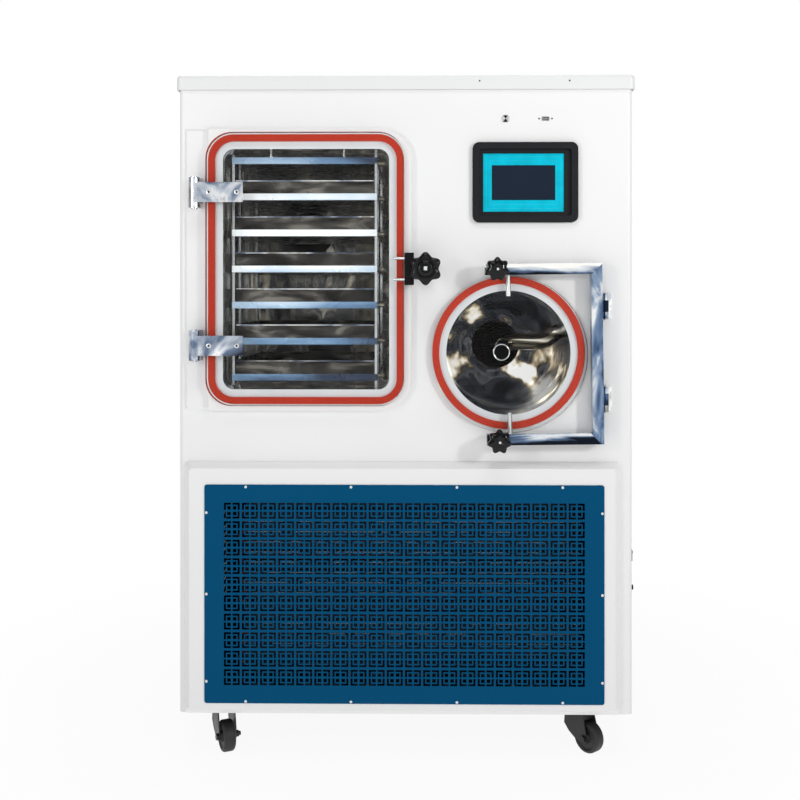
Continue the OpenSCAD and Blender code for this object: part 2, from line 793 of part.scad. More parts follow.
// Two L-shaped slots that face each other round a fretwork square
module fret_2d() {
    a = fret_side / 2;
    s = fret_slot;
    e = a - s - 4;
    for (turn = [0, 180]) rotate(turn)
        polygon([[-a, -e], [-a, a], [e, a], [e, a - s], [s - a, a - s], [s - a, -e]]);
}

module grille_plate() {
    x0 = -(fret_cols - 1) * fret_pitch_x / 2;
    z0 = -(fret_rows - 1) * fret_pitch_z / 2;
    color("steelblue") placed() translate([grille_x, 0, grille_z])
        proud(cover_proud, cover_proud + grille_t) difference() {
            polygon(rounded(grille_w, grille_h, 6, 3));
            for (c = [0:fret_cols - 1], r = [0:fret_rows - 1])
                translate([x0 + c * fret_pitch_x, z0 + r * fret_pitch_z]) fret_2d();
        }
}

module chamber_bezel() {
    color("white") placed() translate([chamber_x, 0, chamber_z]) {
        difference() {
            hull() {
                proud(0, bezel_proud - bezel_slope) polygon(bezel_outline(0));
                proud(bezel_proud - 0.5, bezel_proud) polygon(bezel_outline(bezel_slope));
            }
            proud(-1, bezel_proud + 1)
                polygon(rounded(flange_size[0] + 2, flange_size[1] + 2, flange_r + 1, 12));
        }
        translate([-(pad_left + bezel_left) / 2, 0, 0]) hull() {
            proud(0, 1) square([pad_left - bezel_left + 2 * eps, 2 * bezel_tall - 2], center = true);
            translate([pad_proud / 2, 0, 0]) proud(pad_proud - 0.5, pad_proud)
                square([pad_left - bezel_left - pad_proud + 2 * eps, 2 * bezel_tall - 12], center = true);
        }
    }
}

module chamber_shell() {
    outer = [opening_w + 2 * shell_t, opening_h + 2 * shell_t];
    color("lightsteelblue") placed() difference() {
        translate([chamber_x, 0, chamber_z]) difference() {
            union() {
                proud(flange_proud - flange_t, flange_proud)
                    polygon(rounded(flange_size[0], flange_size[1], flange_r, 12));
                proud(-chamber_back, flange_proud - 1)
                    polygon(rounded(outer[0], outer[1], opening_r + shell_t));
            }
            proud(-chamber_d, flange_proud + 1) polygon(rounded(opening_w, opening_h, opening_r));
        }
        peg(chamber_port[0], chamber_port[1], port_r, -chamber_back - 1, -chamber_d + 1);
    }
}

module chamber_gasket() {
    inner = [flange_size[0] - 2 * gasket_w, flange_size[1] - 2 * gasket_w];
    color("firebrick") placed() translate([chamber_x, 0, chamber_z])
        proud(flange_proud, door_back) difference() {
            polygon(rounded(flange_size[0], flange_size[1], flange_r, 12));
            polygon(rounded(inner[0], inner[1], flange_r - gasket_w, 12));
        }
}

function shelf_z(i) = shelf_top_z - i * shelf_pitch;

// How far the chamber's round corner reaches above its floor, at a distance from its side wall
function corner_rise(d) =
    d < opening_r ? opening_r - sqrt(pow(opening_r, 2) - pow(opening_r - d, 2)) : 0;

// Uprights stand in notches in the shelves' edges and reach from the chamber's floor to its roof
module shelf_stack() {
    right_x = shelf_x0 + shelf_w - post_t;
    posts = [for (x = [shelf_x0, right_x], y = post_ys) [x, y]];
    hanger_xs = [chamber_x - 93, chamber_x + 86];
    color("lightsteelblue") placed() {
        for (p = posts) let (
            to_wall = min(p[0] - chamber_left, chamber_left + opening_w - p[0] - post_t),
            rise = corner_rise(to_wall) + clear)
            translate([p[0], p[1], chamber_bottom + rise]) cube([post_t, post_d, opening_h - 2 * rise]);
        for (i = [0:shelf_count - 1]) difference() {
            translate([shelf_x0, shelf_setback, shelf_z(i) - shelf_t / 2])
                cube([shelf_w, shelf_d, shelf_t]);
            for (p = posts)
                translate([p[0] - clear, p[1] - clear, shelf_z(i) - shelf_t])
                    cube([post_t + 2 * clear, post_d + 2 * clear, 2 * shelf_t]);
        }
        for (x = hanger_xs)
            translate([x, shelf_setback + 12, shelf_top_z + shelf_t / 2])
                cylinder(r = 4, h = chamber_top - shelf_top_z - shelf_t / 2);
    }
}

// Tray i stands on the shelf below the i-th gap from the top
module tray(i) {
    x0 = shelf_x0 + (shelf_w - tray_w) / 2;
    z0 = shelf_z(i) + shelf_t / 2;
    color("silver") placed() translate([x0, shelf_setback + 5, z0]) difference() {
        cube([tray_w, tray_d, tray_h]);
        translate([tray_t, tray_t, tray_t]) cube([tray_w - 2 * tray_t, tray_d - 2 * tray_t, tray_h]);
    }
}

// Oil manifold behind the shelves, with one hose to each shelf's right edge
module oil_hoses() {
    shelf_edge = shelf_x0 + shelf_w;
    lane = (shelf_edge + chamber_left + opening_w) / 2;
    mx = manifold_x + manifold_w;
    my = manifold_y + manifold_d / 2;
    ty = shelf_setback + 60;
    color("darkgray") placed() {
        translate([manifold_x, manifold_y, chamber_bottom]) cube([manifold_w, manifold_d, opening_h]);
        for (i = [0:shelf_count - 1]) {
            z = shelf_z(i);
            low = i < shelf_count - 1 ? z - hose_dip : z + hose_dip;
            route = [[mx - eps, my, low], [mx + 8, my, low], [lane, my - 30, low],
                [lane + 1, ty + 120, low], [lane + 3, ty + 20, z - 6], [lane - 3, ty, z],
                [shelf_edge, ty, z]];
            sweep_bar(smooth_path(route, 3), hose_r, 8, [0, 0, 1]);
        }
    }
}

module chamber_door() {
    color("azure", 0.4) placed() translate([chamber_x, 0, chamber_z]) proud(door_back, door_front)
        polygon(rounded(door_size[0], door_size[1], flange_r + door_lap, 12));
}

module door_hinge_leaves() {
    color("silver") placed() for (s = [-1, 1]) {
        z0 = chamber_z + s * hinge_offset - leaf_h / 2;
        difference() {
            union() {
                translate([hinge_x, -hinge_p, z0]) cylinder(r = barrel_r, h = leaf_h);
                translate([hinge_x, -door_front - leaf_t, z0]) cube([leaf_l, leaf_t, leaf_h]);
            }
            translate([hinge_x, -hinge_p, z0 - 1]) cylinder(r = pin_r + fit_gap, h = leaf_h + 2);
        }
    }
}

// Cabinet halves of the two door hinges and the two yoke hinges
module hinge_brackets() {
    bracket_h = leaf_h + 2 * (clear + knuckle_h);
    color("silver") placed() {
        for (s = [-1, 1]) {
            zc = chamber_z + s * hinge_offset;
            difference() {
                union() {
                    translate([hinge_x - barrel_r, -pad_proud - bracket_t, zc - bracket_h / 2])
                        cube([2 * barrel_r, bracket_t, bracket_h]);
                    for (z0 = [zc + leaf_h / 2 + clear, zc - leaf_h / 2 - clear - knuckle_h]) {
                        translate([hinge_x, -hinge_p, z0]) cylinder(r = barrel_r, h = knuckle_h);
                        translate([hinge_x - barrel_r, -hinge_p, z0])
                            cube([2 * barrel_r, hinge_p - pad_proud - 1, knuckle_h]);
                    }
                }
                translate([hinge_x, -hinge_p, zc - leaf_h])
                    cylinder(r = pin_r + fit_gap, h = 2 * leaf_h);
            }
        }
        for (s = [-1, 1]) yoke_bracket(trap_z + s * yoke_hinge_offset);
    }
}

module yoke_bracket(zc) {
    end_h = yoke_hinge_h * (1 - middle_part) / 2;
    difference() {
        union() {
            translate([yoke_hinge_x, -yoke_leaf_t, zc - yoke_hinge_h / 2])
                cube([yoke_leaf_w, yoke_leaf_t, yoke_hinge_h]);
            for (z0 = [zc - yoke_hinge_h / 2, zc + yoke_hinge_h / 2 - end_h]) {
                translate([yoke_hinge_x, -yoke_hinge_p, z0]) cylinder(r = yoke_barrel_r, h = end_h);
                translate([yoke_hinge_x - 4, -yoke_hinge_p, z0]) cube([8, yoke_hinge_p, end_h]);
            }
        }
        translate([yoke_hinge_x, -yoke_hinge_p, zc - yoke_hinge_h])
            cylinder(r = yoke_pin_r + fit_gap, h = 2 * yoke_hinge_h);
    }
}

// A hinge pin with a flat head at each end
module headed_pin(x, p, r, z0, z1) {
    head = 2.5;
    translate([x, -p, z0]) cylinder(r = r, h = z1 - z0);
    for (z = [z0 - head, z1]) translate([x, -p, z]) cylinder(r = r + 2, h = head);
}

module hinge_pins() {
    half_h = leaf_h / 2 + clear + knuckle_h + eps;
    yoke_half_h = yoke_hinge_h / 2 + eps;
    color("gainsboro") placed() for (s = [-1, 1]) {
        zd = chamber_z + s * hinge_offset;
        zy = trap_z + s * yoke_hinge_offset;
        headed_pin(hinge_x, hinge_p, pin_r, zd - half_h, zd + half_h);
        headed_pin(yoke_hinge_x, yoke_hinge_p, yoke_pin_r, zy - yoke_half_h, zy + yoke_half_h);
    }
}

// Black block on the door's edge, with the tongue that carries the knob
module latch_block() {
    tongue_r = 18;
    color("black") placed() difference() {
        union() {
            translate([door_edge, -latch_back - latch_d, knob_z - latch_h / 2])
                cube([latch_w, latch_d, latch_h]);
            translate([door_edge + latch_w - 1, -tongue_front, knob_z - tongue_r])
                cube([knob_x - door_edge - latch_w + 1, tongue_t, 2 * tongue_r]);
            peg(knob_x, knob_z, tongue_r, tongue_back, tongue_front);
        }
        peg(knob_x, knob_z, stud_r + fit_gap, tongue_back - 1, tongue_front + 1);
    }
}

// Star knob with its clamp screw: lobed body, raised hub, dished ring and screw end
module star_knob(x, z, r, h, lobes, back, tip) {
    body_h = h * 0.5;
    scallop = r * 0.21;
    peg(x, z, r * 0.42, back, back + h * 0.28);
    translate([x, 0, z]) {
        proud(back + h * 0.26, back + h * 0.32) polygon(star(r - 2.5, lobes, scallop));
        proud(back + h * 0.31, back + h * 0.31 + body_h) polygon(star(r, lobes, scallop));
        proud(back + h * 0.3 + body_h, back + h * 0.37 + body_h) polygon(star(r - 2.5, lobes, scallop));
    }
    peg(x, z, r * 0.5, back + h * 0.36 + body_h, back + h);
    peg(x, z, stud_r * 0.8, back + h - 1, back + h + stud_end);
    peg(x, z, stud_r, tip, back + 1);
}

module washer(x, z, back) {
    color("silver") placed() difference() {
        peg(x, z, washer_r, back, back + washer_t);
        peg(x, z, stud_r + fit_gap, back - 1, back + washer_t + 1);
    }
}

module chamber_knob() {
    color("black") placed() star_knob(
        knob_x, knob_z, big_knob_r, big_knob_h, 6, big_knob_back, chamber_bush_h + clear);
}

module chamber_knob_washer() {
    washer(knob_x, knob_z, big_knob_back - washer_t);
}

module trap_knob(s) {
    at = trap_knob_at(s);
    color("black") placed() star_knob(
        at[0], at[1], small_knob_r, small_knob_h, 7, trap_knob_back, trap_bush_h + clear);
}

module trap_knob_washer(s) {
    at = trap_knob_at(s);
    washer(at[0], at[1], trap_knob_back - washer_t);
}

// A threaded bush: a round boss in front of the panel and a shank through it
module clamp_bush(x, z, h) {
    shank = 12;
    difference() {
        union() {
            peg(x, z, bush_r, 0, h);
            peg(x, z, bush_r - 3, -shank, 1);
        }
        peg(x, z, stud_r + fit_gap, -shank - 1, h + 1);
    }
}

module clamp_bushes() {
    color("silver") placed() {
        clamp_bush(knob_x, knob_z, chamber_bush_h);
        for (s = [-1, 1]) let (at = trap_knob_at(s)) clamp_bush(at[0], at[1], trap_bush_h);
    }
}

// Half section of the trap: flange, straight wall and dished end with its port
function dish(r, d, n = 10) =
    [for (i = [0:n]) let (a = 90 * i / n) if (r * cos(a) > port_r) [r * cos(a), trap_d + d * sin(a)]];
function trap_section() = let (inside = dish(trap_r, dish_d)) concat(
    [[trap_flange_r, -trap_flange_t], [trap_flange_r, 0], [trap_outer, 0]],
    dish(trap_outer, dish_d + trap_t),
    [[port_r, port_y_out], [port_r, port_y]],
    [for (i = [len(inside) - 1:-1:0]) inside[i]],
    [[trap_r, -trap_flange_t]]);

module trap_vessel() {
    color("lightsteelblue") placed() difference() {
        translate([trap_x, 0, trap_z]) rotate([-90, 0, 0])
            rotate_extrude($fn = 96) polygon(trap_section());
        translate([trap_x, pipe_y, pipe_exit[1]]) rotate([0, 90, 0])
            cylinder(r = pipe_r + clear, h = 2 * trap_r);
    }
}

module trap_gasket() {
    color("firebrick") placed() difference() {
        peg(trap_x, trap_z, trap_flange_r, trap_flange_t, disc_back);
        peg(trap_x, trap_z, trap_flange_r - trap_gasket_w, trap_flange_t - 1, disc_back + 1);
    }
}

// Suction pipe: its open end faces the trap's mouth, and it leaves through the right wall to the rear
module suction_pipe() {
    x_run = trap_x - 12;
    z_run = trap_z + 21;
    z_out = pipe_exit[1];
    x_out = pipe_exit[0];
    y_end = cabinet_d - sleeve_l;
    route = [[x_run, 46, trap_z - 2], [x_run, 56, trap_z - 2], [x_run + 4, 84, trap_z + 6],
        [x_run + 26, pipe_y, z_run], [x_run + 70, pipe_y, z_run], [x_run + 112, pipe_y, z_run + 4],
        [x_run + 138, pipe_y, z_out - 5], [x_run + 156, pipe_y, z_out], [x_out - 50, pipe_y, z_out],
        [x_out - 34, pipe_y + 4, z_out], [x_out - 8, pipe_y + 28, z_out], [x_out, pipe_y + 64, z_out],
        [x_out, y_end - 20, z_out], [x_out, y_end, z_out]];
    tail = cabinet_d + pipe_out;
    color("lightsteelblue") placed() {
        sweep_pipe(smooth_path(route, 2), pipe_r, pipe_t, 20, [1, 0, 0]);
        difference() {
            union() {
                peg(x_out, z_out, sleeve_r, -tail, 10 - y_end);
                peg(x_out, z_out, port_flange_r, -tail, -tail + 5);
            }
            peg(x_out, z_out, pipe_r - pipe_t / 2, -tail - 1, 11 - y_end);
        }
    }
}

module trap_disc() {
    color("azure", 0.4) placed() sagged() difference() {
        peg(trap_x, trap_z, disc_r, disc_back + seat_film, disc_back + disc_t, $fn = 128);
        for (s = [0, 1]) mirror_z(s) translate([trap_x, -yoke_mid, trap_z + disc_r - pivot_in])
            cylinder(r = pivot_r + fit_gap, h = pivot_in + 10);
    }
}

// Turns a piece about the yoke's hinges by the yoke's sag
module sagged() {
    translate([yoke_hinge_x, 0, trap_z]) rotate([0, -yoke_sag, 0])
        translate([-yoke_hinge_x, 0, -trap_z]) children();
}

// Mirrors a piece across the level of the trap's centre
module mirror_z(s) {
    translate([0, 0, s * 2 * trap_z]) mirror([0, 0, s]) children();
}

module disc_pins() {
    z1 = trap_z + arm_offset - yoke_side / 2 + pivot_seat;
    z0 = trap_z + disc_r - pivot_in;
    color("silver") placed() sagged() for (s = [0, 1])
        mirror_z(s) translate([trap_x, -yoke_mid, z0 + clear]) cylinder(r = pivot_r, h = z1 - z0 - 2 * clear);
}

// Yoke: two arms and an upright of square tube, with the moving hinge knuckles
module yoke() {
    a = yoke_side / 2;
    top = arm_offset + a;
    low = arm_offset - a;
    x0 = trap_x - yoke_left;
    x1 = trap_x + yoke_right;
    mid_h = yoke_hinge_h * middle_part - 2 * clear;
    color("silver") placed() difference() {
        union() {
            sagged() {
                for (s = [-1, 1])
                    translate([x0, -yoke_front, trap_z + s * arm_offset - a])
                        cube([x1 - x0, yoke_side, yoke_side]);
                translate([x1 - yoke_side, -yoke_front, trap_z - low - 1])
                    cube([yoke_side, yoke_side, 2 * low + 2]);
            }
            for (s = [-1, 1]) translate([0, 0, trap_z + s * yoke_hinge_offset - mid_h / 2]) {
                translate([yoke_hinge_x, -yoke_hinge_p, 0]) cylinder(r = yoke_barrel_r, h = mid_h);
                translate([x1 - yoke_link, -yoke_back - 1, 0])
                    cube([yoke_hinge_x - x1 + yoke_link, yoke_back + 1 - yoke_hinge_p, mid_h]);
            }
        }
        for (s = [-1, 1]) let (at = trap_knob_at(s))
            peg(at[0], at[1], stud_r + fit_gap, yoke_back - 1, yoke_front + 1);
        translate([yoke_hinge_x, -yoke_hinge_p, trap_z - top])
            cylinder(r = yoke_pin_r + fit_gap, h = 2 * top);
        sagged() for (s = [0, 1]) mirror_z(s) translate([trap_x, -yoke_mid, trap_z + low - 1])
            cylinder(r = pivot_r + fit_gap, h = pivot_seat + 1);
    }
}

module screen_bezel() {
    back_t = 4;
    color("black") placed() translate([screen_x, 0, screen_z]) {
        proud(0, screen_proud) difference() {
            polygon(rounded(screen_w, screen_h, 16));
            polygon(rounded(rim_inner[0], rim_inner[1], 6, 4));
        }
        proud(-back_t, 0.5) difference() {
            square([rim_inner[0] + 1, rim_inner[1] + 1], center = true);
            translate([-panel_shift, 0]) square(panel_size, center = true);
        }
    }
}

module touch_screen() {
    color("darkturquoise") placed() translate([screen_x - panel_shift, 0, screen_z]) difference() {
        proud(-panel_back, -panel_face)
            square([panel_size[0] - 2 * clear, panel_size[1] - 2 * clear], center = true);
        proud(-panel_face - 1, 0) square(glass_size, center = true);
    }
}

module button_collar() {
    color("silver") placed() difference() {
        union() {
            peg(button_x, button_z, collar_r, 0, 2);
            peg(button_x, button_z, collar_r - 1.5, -button_depth, 1);
        }
        peg(button_x, button_z, plunger_r + fit_gap, -button_depth - 1, 3);
    }
}

// Plunger with a dished face
module push_button() {
    top = 3 + button_travel / 2;
    color("gainsboro") placed() {
        difference() {
            peg(button_x, button_z, plunger_r, -button_depth - 2 * clear, top);
            translate([button_x, -top, button_z]) rotate([90, 0, 0])
                translate([0, 0, -0.8]) cylinder(r1 = 0.5, r2 = plunger_r - 0.6, h = 0.81, $fn = 32);
        }
        peg(button_x, button_z, plunger_r + 1, -button_depth - 3, -button_depth - clear);
    }
}

// Data port: a metal shell through the panel, with a thin rim and the contact tongue inside
module data_port() {
    shell = 1;
    rim = [port_hole[0] + 2 * shell + 3, port_hole[1] + 2 * shell + 1];
    color("silver") placed() translate([data_x, 0, button_z]) {
        difference() {
            union() {
                proud(0, 0.8) polygon(rounded(rim[0], rim[1], 3, 4));
                proud(-15, 0.5) square([port_hole[0] + 2 * shell, port_hole[1] + 2 * shell], center = true);
            }
            proud(-13, 2) square(port_hole, center = true);
        }
        translate([0, 0, port_hole[1] / 2 - 2.4]) proud(-14, -1)
            square([port_hole[0] - 2, 1.8], center = true);
    }
}

// Frame of the power switch, in the front panel's right return
module switch_frame() {
    depth = 11;
    color("black") placed() translate([half_w, switch_y, switch_z]) difference() {
        union() {
            translate([0, -switch_w / 2, -switch_h / 2]) cube([2, switch_w, switch_h]);
            translate([-depth, 1 + clear - switch_w / 2, 1 + clear - switch_h / 2])
                cube([depth + 1, switch_w - 2 - 2 * clear, switch_h - 2 - 2 * clear]);
        }
        translate([1 - depth, -switch_hole[0] / 2, -switch_hole[1] / 2])
            cube([depth + 4, switch_hole[0], switch_hole[1]]);
        translate([-rocker_in, 0, 0]) rotate([90, 0, 0])
            cylinder(r = 1.5 + fit_gap, h = switch_w - 3, center = true);
    }
}

// Rocker with two pivot stubs, its upper half pressed in
module power_rocker() {
    hy = switch_hole[0] / 2 - 0.5;
    hz = switch_hole[1] / 2 - 1.5;
    color("crimson") placed() translate([half_w - rocker_in, switch_y, switch_z]) {
        rotate([0, rocker_tilt, 0]) rotate([90, 0, 0]) linear_extrude(2 * hy, center = true)
            polygon([[-3, -hz + 1], [7, -hz], [5, 0], [7, hz], [-3, hz - 1]]);
        rotate([90, 0, 0]) cylinder(r = 1.5, h = 2 * hy + 2.4, center = true);
    }
}

module fuse_holder() {
    color("black") placed() translate([half_w, switch_y, fuse_z]) rotate([0, 90, 0]) {
        cylinder(r = fuse_r, h = cap_reach - 0.5);
        translate([0, 0, -11]) cylinder(r = fuse_r - 1.5, h = 12);
    }
}

// Where caster i stands, turned to its heading
module at_caster(i) {
    placed() translate([caster_xs[i % 2], caster_ys[floor(i / 2)], 0])
        rotate([0, 0, caster_headings[i % 2]]) children();
}

// Side outline of a fork leg, in the Y-Z plane
module leg_2d() {
    back = race_r + 2;
    polygon(concat(
        [[back, head_top], [-back - 2, head_top], [-caster_trail - 9, wheel_r + 16]],
        arc(-caster_trail, wheel_r, 11, 170, 285, 6),
        [[-6, wheel_r - 6], [14, wheel_r + 6], [back + 4, wheel_r + 22]]));
}

module caster_fork(i) {
    outer = fork_gap + leg_t;
    color("black") at_caster(i) {
        difference() {
            union() {
                translate([0, 0, head_top - head_t]) cylinder(r = race_r + 2, h = head_t);
                for (x = [-fork_gap - leg_t, fork_gap])
                    translate([x, 0, 0]) rotate([90, 0, 90]) linear_extrude(leg_t) leg_2d();
                translate([-fork_gap - leg_t, -16, head_top - head_t])
                    cube([2 * (fork_gap + leg_t), 32, head_t]);
            }
            translate([0, 0, head_top - 10]) cylinder(r = kingpin_r + fit_gap, h = 20);
        }
        translate([0, -caster_trail, wheel_r]) rotate([0, 90, 0]) {
            translate([0, 0, -outer - 1]) cylinder(r = axle_r, h = 2 * outer + 1 + nut_t + bolt_end);
            translate([0, 0, -outer - bolt_head_t]) cylinder(r = axle_r + 3.5, h = bolt_head_t, $fn = 6);
            translate([0, 0, outer]) cylinder(r = axle_r + 3.5, h = nut_t, $fn = 6);
        }
    }
}

// Wheel: rounded tread on a plain hub
module caster_wheel(i) {
    a = wheel_w / 2;
    hub = fork_gap - clear;
    edge = 7;
    color("dimgray") at_caster(i) translate([0, -caster_trail, wheel_r]) rotate([0, 90, 0])
        rotate_extrude($fn = 72) polygon(concat(
            [[axle_r + fit_gap, -hub], [axle_r + 7, -hub], [axle_r + 9, -a + 3], [wheel_r - 12, -a + 3]],
            arc(wheel_r - edge, -a + edge, edge, -90, 0, 5),
            arc(wheel_r - edge, a - edge, edge, 0, 90, 5),
            [[wheel_r - 12, a - 3], [axle_r + 9, a - 3], [axle_r + 7, hub], [axle_r + fit_gap, hub]]));
}

// Fin block between two end plates, with a bank of tubes and return bends in front
module condenser_coil() {
    x0 = coil_x - coil_w / 2;
    plate = 2;
    stub = 6;
    ty = coil_y - coil_tube_r + 0.5;
    color("silver") placed() {
        translate([x0, coil_y, coil_z0]) cube([coil_w, coil_d, coil_h]);
        for (x = [x0 - plate, x0 + coil_w])
            translate([x, coil_y - 14, floor_z]) cube([plate, coil_d + 20, coil_z0 + coil_h - floor_z]);
        for (i = [0:coil_rows - 1])
            translate([x0 - plate - stub, ty, coil_z0 + (i + 0.5) * coil_pitch]) rotate([0, 90, 0])
                cylinder(r = coil_tube_r, h = coil_w + 2 * plate + stub, $fn = 20);
        for (i = [0:2:coil_rows - 2])
            translate([x0 - plate - stub, ty, coil_z0 + (i + 1) * coil_pitch])
                rotate([90, 0, 0]) rotate([0, 0, 90]) rotate_extrude(angle = 180, $fn = 24)
                    translate([coil_pitch / 2, 0]) circle(r = coil_tube_r, $fn = 16);
    }
}

// Shroud plate behind the coil, with the fan's collar and the motor on three arms
module fan_shroud() {
    y0 = coil_y + coil_d + clear;
    collar_d = fan_y + fan_t - y0;
    side = 2 * (fan_r + fan_plate_border);
    arms = 3;
    shaft_r = 6;
    color("dimgray") placed() {
        difference() {
            translate([coil_x - side / 2, y0, fan_z - side / 2]) cube([side, 3, side]);
            peg(coil_x, fan_z, fan_r + 7, -y0 - 10, -y0 + 10);
        }
        difference() {
            peg(coil_x, fan_z, fan_r + 9, -y0 - collar_d, -y0 - 2);
            peg(coil_x, fan_z, fan_r + 7, -y0 - collar_d - 1, -y0);
        }
        peg(coil_x, fan_z, 48, -motor_y - 70, -motor_y);
        peg(coil_x, fan_z, shaft_r, -motor_y - 1, -fan_y + 8);
        for (i = [0:arms - 1]) translate([coil_x, 0, fan_z]) rotate([0, i * 360 / arms + 90, 0]) {
            translate([40, motor_y + 10, -8]) cube([fan_r - 30, 6, 16]);
            translate([fan_r + 3, fan_y + 10, -8]) cube([7, motor_y - fan_y + 6, 16]);
        }
    }
}

module condenser_fan() {
    hub_r = 46;
    shaft_r = 6;
    color("gray") placed() translate([coil_x, 0, fan_z]) difference() {
        union() {
            peg(0, 0, hub_r, -fan_y - fan_t + 4, -fan_y);
            for (i = [0:fan_blades - 1]) rotate([0, i * 360 / fan_blades, 0])
                translate([hub_r - 6, fan_y + fan_t / 2 - 2, 0]) rotate([26, 0, 0])
                    translate([0, -1.5, -34]) cube([fan_r - hub_r - 2, 3, 68]);
        }
        peg(0, 0, shaft_r + fit_gap, -fan_y - fan_t - 1, -fan_y + 1);
    }
}

// Two sealed compressors, each on rubber buffers and a foot plate
module compressors() {
    taper_h = 34;
    taper = 30;
    buffer_at = foot_side / 2 - 20;
    saddle_z = foot_t + buffer_h;
    color("black") placed() for (side = [-1, 1])
        translate([compressor_x + side * compressor_gap / 2, compressor_y, floor_z]) {
            translate([-foot_side / 2, -foot_side / 2, 0]) cube([foot_side, foot_side, foot_t]);
            for (fx = [-buffer_at, buffer_at], fy = [-buffer_at, buffer_at])
                translate([fx, fy, foot_t - 1]) cylinder(r = buffer_r, h = buffer_h + 2);
            translate([-saddle_side / 2, -saddle_side / 2, saddle_z]) cube([saddle_side, saddle_side, 4]);
            translate([0, 0, saddle_z + 3])
                cylinder(r = compressor_r, h = compressor_h - saddle_z - 3 - taper_h);
            translate([0, 0, compressor_h - taper_h - eps])
                cylinder(r1 = compressor_r, r2 = compressor_r - taper, h = taper_h);
            translate([compressor_r - 6, 0, compressor_h - 90]) rotate([0, 90, 0]) cylinder(r = 8, h = 40);
        }
}

// Vapour duct from the trap's port, round the back, to the chamber's port
module vapour_duct() {
    y_trap = port_y_out + clear;
    y_run = cabinet_d - duct_r - 45;
    cx = chamber_port[0];
    cz = chamber_port[1];
    route = [[trap_x, y_trap, trap_z], [trap_x, y_trap + 30, trap_z], [trap_x, y_run - 110, trap_z],
        [trap_x - 35, y_run - 32, trap_z + 10], [trap_x - 120, y_run, trap_z + 60],
        [cx + 120, y_run, cz - 60], [cx + 35, y_run - 32, cz - 10], [cx, y_run - 100, cz],
        [cx, chamber_back + 20, cz], [cx, chamber_back, cz]];
    color("silver") placed() sweep_pipe(smooth_path(route, 2), duct_r, duct_t, 24, [1, 0, 0]);
}

module cable_gland() {
    x = gland_in - half_w;
    reach = 24;
    color("black") placed() difference() {
        union() {
            peg(x, gland_z, 22, -cabinet_d - 8, -cabinet_d);
            peg(x, gland_z, 18, -cabinet_d - reach, -cabinet_d - 7);
            peg(x, gland_z, gland_r, -cabinet_d - 1, -cabinet_d + 12);
            peg(x, gland_z, 21, -rear_y, -rear_y + 6);
        }
        peg(x, gland_z, cable_bore_r, -cabinet_d - reach - 1, -cabinet_d + 13);
    }
}

base_pan();
inner_frame();
front_panel();
side_panel(-1);  // left_panel
side_panel(1);  // right_panel
rear_panel();
top_cap();
lower_cover();
grille_plate();
chamber_bezel();
chamber_shell();
chamber_gasket();
shelf_stack();
for (i = [1:tray_count]) tray(i);
oil_hoses();
chamber_door();
door_hinge_leaves();
hinge_brackets();
hinge_pins();
latch_block();
chamber_knob();
chamber_knob_washer();
clamp_bushes();
trap_vessel();
trap_gasket();
suction_pipe();
trap_disc();
disc_pins();
yoke();
trap_knob(1);  // upper_knob
trap_knob_washer(1);  // upper_knob_washer
trap_knob(-1);  // lower_knob
trap_knob_washer(-1);  // lower_knob_washer
screen_bezel();
touch_screen();
button_collar();
push_button();
data_port();
switch_frame();
power_rocker();
fuse_holder();
for (i = [0:3]) caster_fork(i);
for (i = [0:3]) caster_wheel(i);
condenser_coil();
fan_shroud();
condenser_fan();
compressors();
vapour_duct();
cable_gland();
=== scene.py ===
"""Look of the freeze dryer: materials, fine fittings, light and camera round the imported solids."""

import json
import math

import bmesh
import bpy
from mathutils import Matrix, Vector
from mathutils.geometry import tessellate_polygon


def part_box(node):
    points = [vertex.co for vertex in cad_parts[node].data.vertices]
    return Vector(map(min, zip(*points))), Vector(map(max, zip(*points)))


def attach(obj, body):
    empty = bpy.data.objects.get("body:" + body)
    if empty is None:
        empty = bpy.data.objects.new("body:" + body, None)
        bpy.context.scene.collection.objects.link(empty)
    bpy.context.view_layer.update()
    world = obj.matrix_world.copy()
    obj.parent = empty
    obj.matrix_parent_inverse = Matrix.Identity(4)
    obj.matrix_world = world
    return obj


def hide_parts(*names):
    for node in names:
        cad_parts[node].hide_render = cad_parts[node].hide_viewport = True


MM = 0.001
OUT = (0, -1, 0)  # the way the front faces
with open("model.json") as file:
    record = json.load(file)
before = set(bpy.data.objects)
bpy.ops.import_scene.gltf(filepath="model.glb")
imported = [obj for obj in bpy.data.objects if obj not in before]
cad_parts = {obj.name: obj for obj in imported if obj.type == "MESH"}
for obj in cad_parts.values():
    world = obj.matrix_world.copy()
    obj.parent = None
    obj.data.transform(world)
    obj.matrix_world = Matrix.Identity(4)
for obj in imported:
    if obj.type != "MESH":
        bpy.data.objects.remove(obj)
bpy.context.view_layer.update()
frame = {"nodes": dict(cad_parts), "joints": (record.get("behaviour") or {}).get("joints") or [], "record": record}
nodes = frame["nodes"]
joints = {j["name"]: j for j in frame["joints"]}


# ---------------------------------------------------------------- small tools


def srgb(r, g, b):
    """Linear colour of an 8-bit screen colour."""
    steps = [c / 255 for c in (r, g, b)]
    return tuple(c / 12.92 if c <= 0.04045 else ((c + 0.055) / 1.055) ** 2.4 for c in steps) + (1.0,)


def shade(colour, factor):
    return tuple(min(c * factor, 1.0) for c in colour[:3]) + (1.0,)


def middle(node):
    """Centre of a CAD node's box."""
    low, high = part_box(node)
    return (low + high) / 2


def face_of(node):
    """Y of a CAD node's front face."""
    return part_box(node)[0].y


